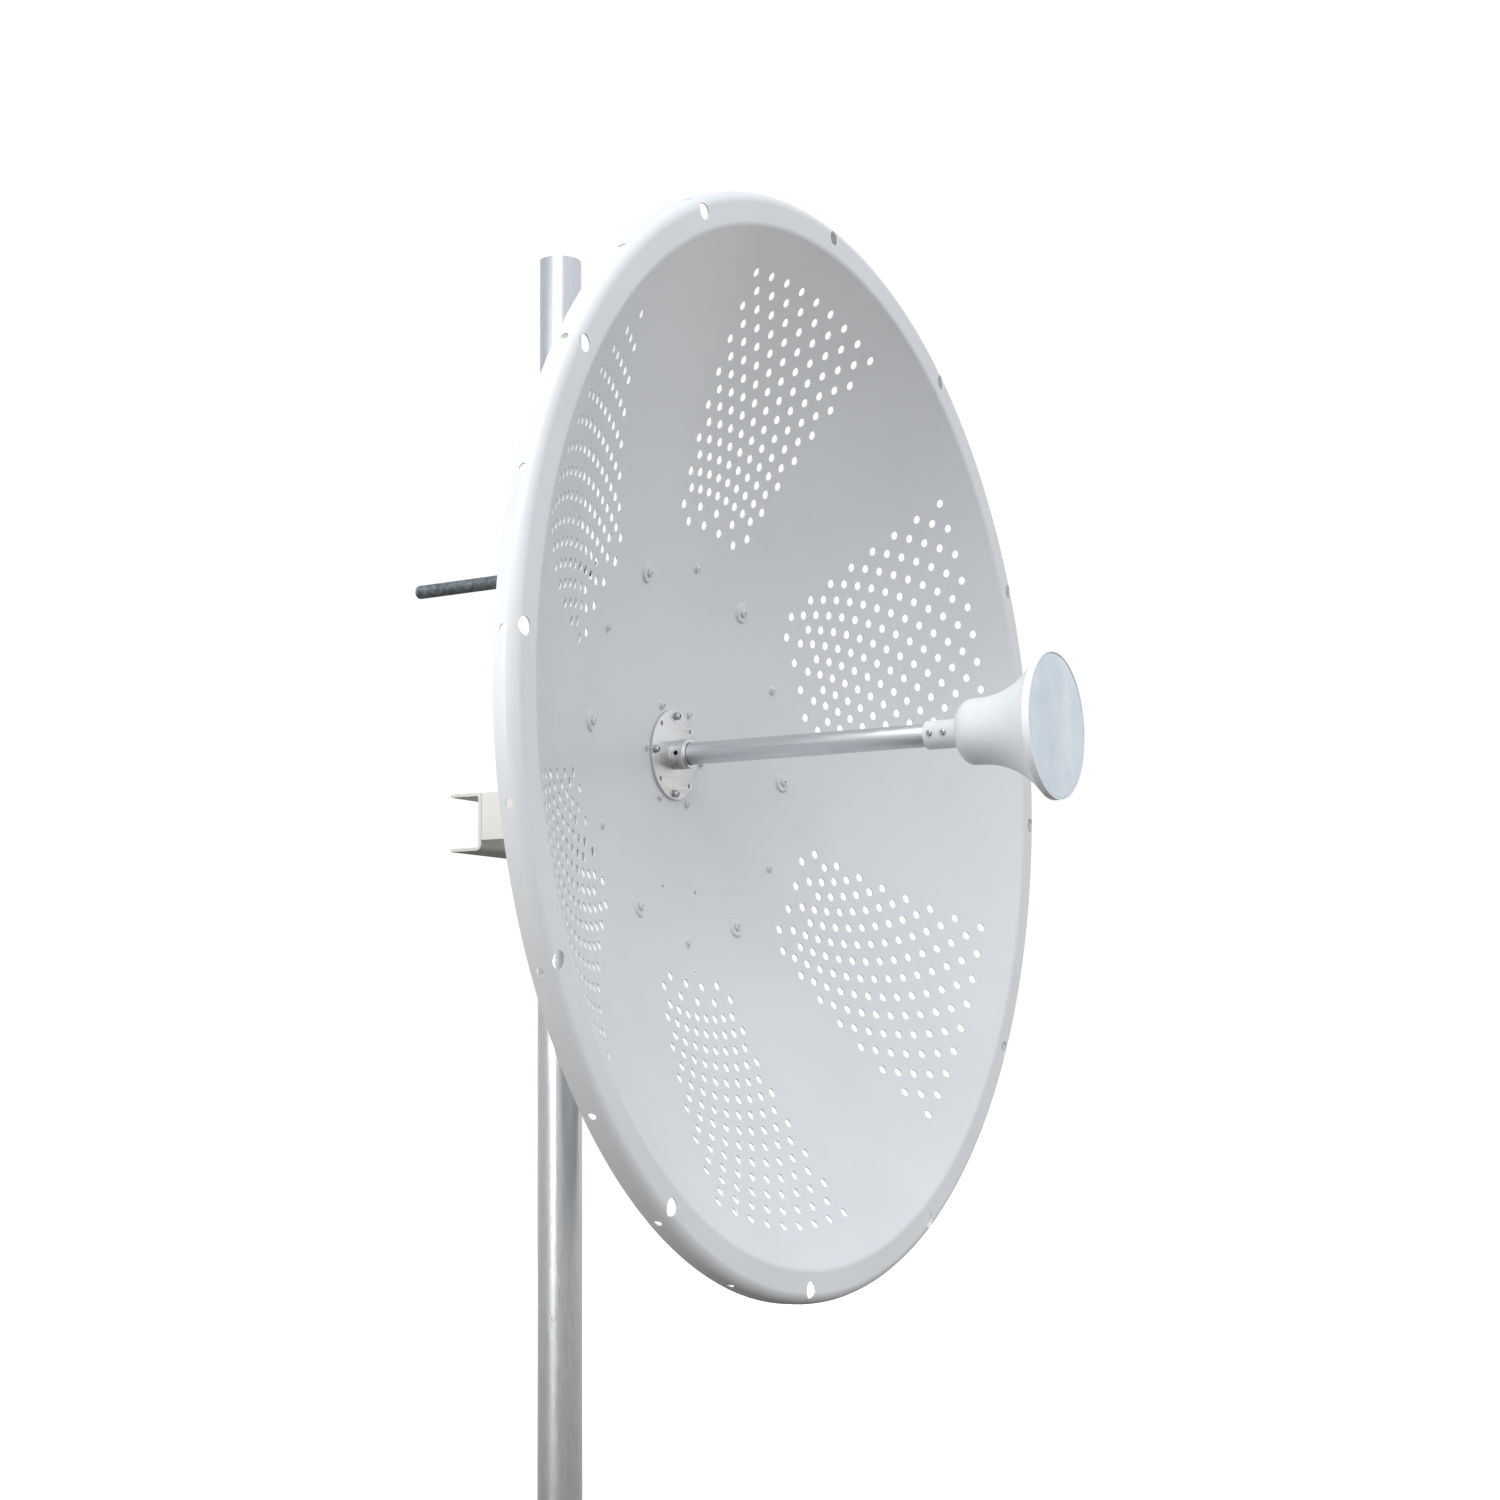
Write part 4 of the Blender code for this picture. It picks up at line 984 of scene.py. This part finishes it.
sleeve = lathe(soften([(bore, FLANGE_FRONT - 0.0004), (HUB_R - 0.0005, FLANGE_FRONT - 0.0004),
                       (HUB_R - 0.0005, GROOVE_Z - 0.0004), (HUB_R - 0.0011, GROOVE_Z), (HUB_R, GROOVE_Z + 0.0005),
                       (HUB_R, HUB_FRONT - 0.0024), (HUB_R - 0.0007, HUB_FRONT - 0.0020),
                       (HUB_R - 0.0007, HUB_FRONT - 0.0014), (HUB_R - 0.0001, HUB_FRONT - 0.0010),
                       (HUB_R - 0.0012, HUB_FRONT), (bore + 0.0006, HUB_FRONT), (bore, HUB_FRONT - 0.0006)],
                      0.00018, closed=True, n=2), DISH, 96, closed=True)
GRUB_Z = FLANGE_FRONT + 0.0098
radial = DISH @ move(0, 0, GRUB_Z) @ turn(-90, 'Y')
hub = piece("feed_hub", [sleeve], ALU, "dish", [])
cut_from(hub, [lathe([(0, BOOM_R - 0.001), (0.0028, BOOM_R - 0.001), (0.0028, HUB_R + 0.003), (0, HUB_R + 0.003)],
                     radial, 24)])
piece("feed_disc", [disc], ALU, "dish", ["feed_flange"])
piece("grub_screw",
      [lathe([(0, HUB_R - 0.0036), (0.0012, HUB_R - 0.0036), (0.0012, HUB_R - 0.0020), (0.0021, HUB_R - 0.0020),
              (0.0025, HUB_R - 0.0024), (0.0025, BOOM_R + 0.0003), (0, BOOM_R + 0.0003)], radial, 24)],
      BLACK, "dish", ["hub_grub_screw"])


def cap_screw(m, head_r, head_h, socket_r, shank_r, length):
    """A bright button head with a hexagon socket."""
    line = [(0.0, head_h - 0.0020), (socket_r, head_h - 0.0020), (socket_r, head_h)]
    for i in range(5):
        t = rad(90 * i / 4)
        line.append((socket_r * 1.2 + (head_r - socket_r * 1.2) * math.sin(t),
                     head_h * 0.55 + head_h * 0.45 * math.cos(t)))
    line += [(head_r, 0.0003), (head_r - 0.0003, 0.0), (shank_r, 0.0), (shank_r, -length), (0.0, -length)]
    return lathe(line, m, 32)


for k in range(4):
    a = FEED_ROLL + rad(90 * k)
    m = DISH @ Matrix.Rotation(a, 4, 'Z') @ move(FLANGE_SCREW_R, 0, FLANGE_FRONT + GAP)
    piece(f"flange_cap_screw_{k + 1}",
          [cap_screw(m, 0.0043, 0.0046, 0.0020, 0.0025, 0.0138),
           thread(0.0025, 0.0008, 0.0004, -0.0138, -0.0020, m, 16)],
          STAINLESS, "dish", [f"flange_screw_{k + 1}"])

# ------------------------------------------------------------------ boom, horn
piece("boom",
      [lathe(soften([(BOOM_R, BOOM_FRONT_Z), (BOOM_R, BOOM_BACK_Z), (BOOM_R - BOOM_WALL, BOOM_BACK_Z),
                     (BOOM_R - BOOM_WALL, BOOM_FRONT_Z)], 0.0004, closed=True, n=2), DISH, 72, closed=True)],
      TUBE, "feed", ["boom_tube"])

z_throat, z_rim, r_throat, r_rim = 0.3750, HORN_FRONT_Z - 0.0085, 0.0355, HORN_R - 0.0010
flare = [(r_throat + (r_rim - r_throat) * u ** 2.35, z_throat + (z_rim - z_throat) * u)
         for u in (1 - i / 20 for i in range(1, 21))]
shoulder = [(0.0215 + 0.014 * math.cos(rad(90 * i / 8)), 0.3740 - 0.014 * math.sin(rad(90 * i / 8)))
            for i in range(9)]
outer = soften([(HORN_R, HORN_FRONT_Z), (HORN_R, HORN_FRONT_Z - 0.0078), (HORN_R - 0.0010, z_rim)], 0.0006, n=3)
outer += flare[1:] + shoulder
outer += soften([(0.0200, 0.3600), (COLLAR_R, 0.3600), (COLLAR_R, COLLAR_BACK_Z + 0.0006),
                 (COLLAR_R - 0.0006, COLLAR_BACK_Z), (BOOM_R + GAP, COLLAR_BACK_Z)], [0, 0.0012, 0.0004, 0.0003, 0], n=3)
inner = [(BOOM_R + GAP, 0.3630)]
for r, z in reversed(flare[1:] + shoulder[:5]):
    inner.append((r - HORN_WALL, min(z + HORN_WALL * 0.8, HORN_FRONT_Z - 0.009)))
inner += [(HORN_R - 0.0055, HORN_FRONT_Z - 0.0062), (HORN_R - 0.0055, HORN_FRONT_Z - 0.0032),
          (HORN_R - 0.0016, HORN_FRONT_Z - 0.0032), (HORN_R - 0.0016, HORN_FRONT_Z - 0.0003),
          (HORN_R - 0.0013, HORN_FRONT_Z)]
piece("horn", [lathe(outer + inner, DISH, 128, closed=True)], WHITE, "feed", ["feed_horn"], sharp=28)

crown = [(0.0, HORN_FRONT_Z), (HORN_R * 0.5, HORN_FRONT_Z - 0.0001), (HORN_R - 0.0050, HORN_FRONT_Z - 0.0003)]
crown += soften([(HORN_R - 0.0050, HORN_FRONT_Z - 0.0003), (HORN_R - 0.0019, HORN_FRONT_Z - 0.0005),
                 (HORN_R - 0.0019, HORN_FRONT_Z - 0.0029), (0.0, HORN_FRONT_Z - 0.0029)], 0.0006, n=4)[1:]
piece("radome_disc", [lathe(crown, DISH, 128)], COVER, "feed", ["feed_cover"], sharp=40)

for k, z in enumerate((0.3270, 0.3430)):
    m = DISH @ turn(179, 'Z') @ move(0, 0, z) @ turn(90, 'Y')
    line = [(0.0, COLLAR_R + 0.0008), (0.0011, COLLAR_R + 0.0008), (0.0011, COLLAR_R + 0.0022)]
    line += [(0.0013 + 0.0021 * math.sin(rad(t)), COLLAR_R + 0.0008 + 0.0014 * math.cos(rad(t)))
             for t in (10, 30, 50, 70, 90)]
    line += [(0.0034, COLLAR_R + GAP), (0.0016, COLLAR_R + GAP), (0.0016, BOOM_R + 0.0005), (0.0, BOOM_R + 0.0005)]
    piece(f"collar_cap_screw_{k + 1}", [lathe(line, m, 28)], STAINLESS, "feed", [f"collar_screw_{k + 1}"])

# connectors and their plate
piece("connector_disc",
      [sheet_plate([circle(0.0260, 96), circle(0.0016, 12, 0.0, 0.0190), circle(0.0016, 12, 0.0, -0.0190)], 0.0040,
                   DISH @ move(0, 0, BOOM_BACK_Z - GAP - 0.0020), 0.0004)],
      ALU, "feed", ["connector_plate"])
CONN_TOP = BOOM_BACK_Z - 2 * GAP - 0.0040
for name, node, x in (("port_h", "connector_h", -0.0130), ("port_v", "connector_v", 0.0130)):
    m = DISH @ move(x, 0, CONN_TOP) @ turn(180, 'X')
    shell = lathe(soften([(0.0072, 0.0040), (0.0072, 0.0190), (0.0062, 0.0190), (0.0062, 0.0100), (0.0, 0.0100)],
                         0.0002, n=2)[:-1] + [(0.0021, 0.0100), (0.0021, 0.0040)], m, 40)
    piece(name,
          [hexagon(0.0190, 0.0040, 0.0, m, both=False, per=6),
           thread(0.0079, 0.00106, 0.0006, 0.0040, 0.0182, m, 32),
           lathe(soften([(0.0074, 0.0150), (0.0074, 0.0190), (0.0060, 0.0190), (0.0060, 0.0100), (0.0, 0.0100),
                         (0.0, 0.0090), (0.0064, 0.0090), (0.0064, 0.0150)], 0.0002, closed=True, n=2)[:], m, 40,
                 closed=True),
           lathe([(0.0, 0.0098), (0.0009, 0.0098), (0.0009, 0.0150), (0.0005, 0.0160), (0.0, 0.0160)], m, 16)],
          BRASS, "feed", [node])
    piece(name + "_insulator",
          [lathe([(0.0016, 0.0098), (0.0045, 0.0098), (0.0045, 0.0128), (0.0016, 0.0128)], m, 28, closed=True)],
          PTFE, "feed", [])

# --------------------------------------------------------------- frame and yoke
refined("spine", "back_spine", CREAM, "dish", 0.0007)
refined("yoke", "pivot_yoke", CREAM, "dish", 0.0009, 3)


def hex_bolt(m, across, head, shank_r, length, pitch):
    return [hexagon(across, head, 0.0, m, both=False, per=8, washer=0.0004),
            thread(shank_r, pitch, pitch * 0.45, -length, 0.0002, m, 28, chamfer=0.001)]


CHEEK_IN = YOKE_HALF + 0.0005
CHEEK_OUT = CHEEK_IN + 0.0040
for side, s in (("left", -1), ("right", 1)):
    m = DISH @ move(s * (CHEEK_OUT + GAP), PIVOT_H, PIVOT_Z) @ turn(90 * s, 'Y')
    piece(f"hinge_bolt_{side}", hex_bolt(m, 0.018, 0.0075, 0.0060, 0.0220, 0.00175), STAINLESS, "carriage",
          [f"pivot_bolt_{side}"])
    m = DISH @ move(s * (YOKE_HALF - 0.004 - GAP), PIVOT_H, PIVOT_Z) @ turn(-90 * s, 'Y')
    piece(f"hinge_nut_{side}", [hexagon(0.018, 0.0100, 0.0061, m)], STAINLESS, "carriage",
          [f"pivot_nut_{side}"])
inner_half = SPINE_HALF - SPINE_T
m = DISH @ move(ROD_X - 0.0080 - GAP, ROD_EYE_H, ROD_EYE_Z) @ turn(-90, 'Y')
piece("rod_bolt", hex_bolt(m, 0.018, 0.0075, 0.0060, 0.0330, 0.00175), STAINLESS, "dish", ["rod_pivot_bolt"])
m = DISH @ move(-inner_half + GAP, ROD_EYE_H, ROD_EYE_Z) @ turn(90, 'Y')
piece("rod_bolt_nut", [hexagon(0.018, 0.0100, 0.0061, m)], STAINLESS, "dish", ["rod_pivot_nut"])

# ----------------------------------------------------------------- threaded rod
ROD_M = DISH @ move(ROD_X, ROD_EYE_H, ROD_EYE_Z) @ turn(180, 'Y') @ Matrix.Rotation(ROD_SLOPE, 4, 'X')
eye = lathe(soften([(0.0063, -0.0080), (EYE_R, -0.0080), (EYE_R, 0.0080), (0.0063, 0.0080)], 0.0012, closed=True, n=3),
            ROD_M @ turn(90, 'Y'), 56, closed=True)
neck = lathe([(0.0, 0.0075), (0.0072, 0.0080), (0.0074, 0.0125), (0.0066, 0.0180), (0.0066, 0.0210), (0.0, 0.0210)],
             ROD_M, 32)
piece("threaded_rod",
      [eye, neck, thread(ROD_R, 0.0020, 0.0011, 0.0170, ROD_LEN, ROD_M, 28, chamfer=0.0016)],
      ROD, "rod", ["elevation_rod"], sharp=50)
WEB_BACK = CHANNEL_WEB_Y - VERTEX_Y
CROSS = (WEB_BACK + CLAMP_T / 2 + ROD_EYE_Z) / math.cos(ROD_SLOPE)
piece("rod_nut_near", [hexagon(0.024, 0.0130, ROD_R + 0.0001,
                               ROD_M @ move(0, 0, CROSS - CLAMP_T / 2 - 0.0030 - 0.0130))],
      ZINC, "rod_nuts", ["rod_nut_front"])
piece("rod_nut_far", [hexagon(0.024, 0.0130, ROD_R + 0.0001, ROD_M @ move(0, 0, CROSS + CLAMP_T / 2 + 0.0016))],
      ZINC, "rod_nuts", ["rod_nut_rear"])

# ----------------------------------------------------------------- mast bracket
ALONG_X = Matrix(((0, 0, 1, 0), (1, 0, 0, 0), (0, 1, 0, 0), (0, 0, 0, 1)))
y0, y1 = CHANNEL_WEB_Y, CHANNEL_WEB_Y + CHANNEL_DEPTH
z1 = VERTEX_Z + CHANNEL_TOP
z0 = z1 - CHANNEL_H
t = CHANNEL_T
section = [(y1, z1), (y0, z1), (y0, z0), (y1, z0), (y1, z0 + t), (y0 + t, z0 + t), (y0 + t, z1 - t), (y1, z1 - t)]
section = soften(section, [0.0006, 0.0070, 0.0070, 0.0006, 0.0006, 0.0030, 0.0030, 0.0006], closed=True, n=8)
channel = piece("channel", [sheet_plate([section], 2 * CHANNEL_HALF, ALONG_X, 0.0005)], CREAM, "carriage",
                ["rear_channel"])
BACKWARD = turn(-90, 'X')
cut_from(channel, [lathe([(0, 0.015), (UBOLT_ROD + 0.0008, 0.015), (UBOLT_ROD + 0.0008, 0.045), (0, 0.045)],
                         move(s * UBOLT_R, 0, VERTEX_Z + LOWER_UBOLT_H) @ BACKWARD, 32) for s in (-1, 1)])

CHEEK_TOP = VERTEX_Z + CHANNEL_TOP - 0.0005
for side, s in (("left", -1), ("right", 1)):
    y_front = VERTEX_Y - PIVOT_Z - 0.0220
    outline = soften([(y_front, CHEEK_TOP), (y_front, CHEEK_TOP - CHEEK_H), (CHANNEL_WEB_Y - GAP, CHEEK_TOP - CHEEK_H),
                      (CHANNEL_WEB_Y - GAP, CHEEK_TOP)], [0.016, 0.016, 0.0004, 0.0004], closed=True, n=12)
    hole = circle(0.0063, 32, VERTEX_Y - PIVOT_Z, VERTEX_Z + PIVOT_H)
    piece(f"side_plate_{side}",
          [sheet_plate([outline, hole], 0.0040, move(s * (CHEEK_IN + 0.0020), 0, 0) @ ALONG_X, 0.0005)],
          CREAM, "carriage", [f"cheek_{side}"])
    # weld bead in the corner of side plate and channel
    bead = []
    for i in range(25):
        zz = CHEEK_TOP - 0.004 - (CHEEK_H - 0.008) * i / 24
        bead.append((s * (CHEEK_IN - 0.0003), CHANNEL_WEB_Y - 0.0010, zz))
    piece(f"weld_{side}", [pipe(bead, 0.0017, 10)], CREAM, "carriage", [], sharp=60)

UPRIGHT = Matrix(((1, 0, 0, 0), (0, 0, -1, 0), (0, 1, 0, 0), (0, 0, 0, 1)))
CLAMP_H = VERTEX_Z + ROD_EYE_H - math.tan(ROD_SLOPE) * (WEB_BACK + CLAMP_T / 2 + ROD_EYE_Z)
cz = VERTEX_Z + UPPER_UBOLT_H
low = CLAMP_H - 0.0215 - ROD_R - 0.0104
outline = soften([(-0.0720, low), (0.0480, low), (0.0480, cz + 0.0170), (-0.0720, cz + 0.0170)],
                 0.006, closed=True, n=8)
sr, sa, sb = ROD_R + 0.0014, CLAMP_H - 0.0215, CLAMP_H + 0.0040
slot_line = [(ROD_X + sr * math.cos(rad(a)), sb + sr * math.sin(rad(a))) for a in range(0, 181, 15)]
slot_line += [(ROD_X + sr * math.cos(rad(a)), sa + sr * math.sin(rad(a))) for a in range(180, 361, 15)]
piece("clamp_plate",
      [sheet_plate([outline, slot_line, circle(UBOLT_ROD + 0.0008, 28, -UBOLT_R, cz),
                    circle(UBOLT_ROD + 0.0008, 28, UBOLT_R, cz)], CLAMP_T,
                   move(0, CHANNEL_WEB_Y + CLAMP_T / 2, 0) @ UPRIGHT, 0.0006)],
      CREAM, "carriage", ["upper_clamp_plate"])

for name, h, t in (("lower", LOWER_UBOLT_H, CHANNEL_T), ("upper", UPPER_UBOLT_H, CLAMP_T)):
    z = VERTEX_Z + h
    end = CHANNEL_WEB_Y + t + GAP + 0.0080 + 0.0120
    start = 0.0120
    pts = [(UBOLT_R, start + 0.004, z), (UBOLT_R, start / 2, z)]
    pts += [(UBOLT_R * math.cos(-math.pi * i / 48), UBOLT_R * math.sin(-math.pi * i / 48), z) for i in range(49)]
    pts += [(-UBOLT_R, start / 2, z), (-UBOLT_R, start + 0.004, z)]
    shells = [pipe(pts, UBOLT_ROD * 0.985, 28)]
    for s in (-1, 1):
        shells.append(thread(UBOLT_ROD, 0.0015, 0.0008, start, end, move(s * UBOLT_R, 0, z) @ BACKWARD, 24,
                             chamfer=0.0012))
    piece(f"u_bolt_{name}", shells, ZINC, "carriage", [f"{name}_u_bolt"], sharp=50)
    for side, s in (("left", -1), ("right", 1)):
        m = move(s * UBOLT_R, CHANNEL_WEB_Y + t + GAP, z) @ BACKWARD
        piece(f"u_nut_{name}_{side}", [hexagon(0.0170, 0.0080, UBOLT_ROD + 0.0001, m)], ZINC, "carriage",
              [f"{name}_u_bolt_nut_{side}"])

# ------------------------------------------------ nodes that keep their CAD mesh
for node, mat in (("radiator_cross", BOARD), ("coax_line_h", JACKET), ("coax_line_v", JACKET)):
    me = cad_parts[node].data
    for i in range(len(me.materials)):
        me.materials[i] = mat

# ----------------------------------------------------------------------- floor
bm = bmesh.new()
bmesh.ops.create_grid(bm, x_segments=8, y_segments=8, size=60.0)
me = bpy.data.meshes.new("floor")
bm.to_mesh(me)
bm.free()
floor_mat = Nodes("floor_paper")
floor_mat.colour(floor_mat.ramp(floor_mat.noise(0.7, 2, 0.5), [(0.3, (0.90, 0.90, 0.90)), (0.7, (0.92, 0.92, 0.92))]))
floor_mat.constant(Roughness=0.9, Specular_IOR_Level=0.0, Emission_Color=(1, 1, 1, 1), Emission_Strength=0.35)
me.materials.append(floor_mat.m)
floor = bpy.data.objects.new("floor", me)
floor.location = (0, 0, -0.0005)
scene.collection.objects.link(floor)
floor.visible_diffuse = False
floor.visible_glossy = False

# ----------------------------------------------------------------------- light
world = bpy.data.worlds.new("studio")
scene.world = world
world.use_nodes = True
wt = world.node_tree
wt.nodes.clear()
wout = wt.nodes.new("ShaderNodeOutputWorld")
wbg = wt.nodes.new("ShaderNodeBackground")
wtc = wt.nodes.new("ShaderNodeTexCoord")
wsep = wt.nodes.new("ShaderNodeSeparateXYZ")
wmap = wt.nodes.new("ShaderNodeMapRange")
wmap.inputs["From Min"].default_value = -1.0
wmap.inputs["From Max"].default_value = 1.0
wramp = wt.nodes.new("ShaderNodeValToRGB")
els = wramp.color_ramp.elements
stops = [(0.0, (0.02, 0.018, 0.016)), (0.20, (0.06, 0.054, 0.048)), (0.36, (0.44, 0.42, 0.40)),
         (0.44, (0.80, 0.78, 0.75)), (0.50, (0.94, 0.94, 0.94)), (0.64, (0.93, 0.96, 0.99)), (1.0, (0.80, 0.86, 0.92))]
while len(els) < len(stops):
    els.new(0.5)
for el, (p, c) in zip(els, stops):
    el.position = p
    el.color = (*c, 1.0)
wlp = wt.nodes.new("ShaderNodeLightPath")
wwhite = wt.nodes.new("ShaderNodeBackground")
wwhite.inputs["Color"].default_value = (1.0, 1.0, 1.0, 1.0)
wwhite.inputs["Strength"].default_value = 1.05
wmix = wt.nodes.new("ShaderNodeMixShader")
wt.links.new(wtc.outputs["Generated"], wsep.inputs[0])
wt.links.new(wsep.outputs["Z"], wmap.inputs["Value"])
wt.links.new(wmap.outputs["Result"], wramp.inputs["Fac"])
wt.links.new(wramp.outputs["Color"], wbg.inputs["Color"])
wback = wt.nodes.new("ShaderNodeMapRange")         # the room is darker behind the dish
wback.inputs["From Min"].default_value = -0.25
wback.inputs["From Max"].default_value = 0.75
wback.inputs["To Min"].default_value = 1.0
wback.inputs["To Max"].default_value = 0.80
wt.links.new(wsep.outputs["Y"], wback.inputs["Value"])
wt.links.new(wback.outputs["Result"], wbg.inputs["Strength"])
wt.links.new(wlp.outputs["Is Camera Ray"], wmix.inputs[0])
wt.links.new(wbg.outputs[0], wmix.inputs[1])
wt.links.new(wwhite.outputs[0], wmix.inputs[2])
wt.links.new(wmix.outputs[0], wout.inputs[0])


def soft_light(name, place, aim, size, power, colour):
    d = bpy.data.lights.new(name, 'AREA')
    d.shape = 'RECTANGLE'
    d.size, d.size_y = size
    d.energy = power
    d.color = colour
    ob = bpy.data.objects.new(name, d)
    ob.location = place
    ob.rotation_mode = 'QUATERNION'
    ob.rotation_quaternion = (Vector(place) - Vector(aim)).to_track_quat('Z', 'Y')
    scene.collection.objects.link(ob)
    return ob


soft_light("key", (-2.4, -0.8, 3.6), (0.0, -0.2, 0.95), (1.8, 1.8), 54, (1.0, 1.0, 1.0))
soft_light("side", (-4.0, 1.3, 1.7), (0.0, -0.2, 0.95), (1.4, 2.0), 68, (1.0, 0.99, 0.965))
low = soft_light("low_side", (-4.15, 0.15, 0.42), (0.0, 0.0, -0.35), (1.7, 0.6), 9.0, (1.0, 1.0, 1.0))
low.data.spread = math.radians(26.0)               # it reaches the foot of the mast only
soft_light("front", (-0.4, -4.2, 1.6), (0.0, -0.2, 0.9), (3.0, 2.0), 31, (0.98, 0.99, 1.0))
soft_light("rear", (2.6, 3.4, 2.2), (0.0, -0.1, 0.9), (1.6, 2.2), 70, (1.0, 0.99, 0.98))

scene.view_settings.view_transform = 'Standard'
scene.view_settings.look = 'None'
scene.view_settings.exposure = 0.0
scene.view_settings.gamma = 1.0

# ---------------------------------------------------------------------- camera
cam_data = bpy.data.cameras.new("camera")
cam_data.sensor_width = 36.0
cam_data.lens = 61.118
cam_data.clip_start, cam_data.clip_end = 0.05, 200.0
cam = bpy.data.objects.new("camera", cam_data)
scene.collection.objects.link(cam)
look = Matrix(((0.4822, -0.1038, -0.8699), (-0.8760, -0.0676, -0.4775), (-0.0092, 0.9923, -0.1235)))
look = look @ Matrix.Rotation(math.atan(0.3 / 2546.6), 3, 'X') @ Matrix.Rotation(math.atan(0.2 / 2546.6), 3, 'Y')
cam.matrix_world = Matrix.Translation((-2.46487, -1.60509, 0.54875)) @ look.to_4x4()
scene.camera = cam
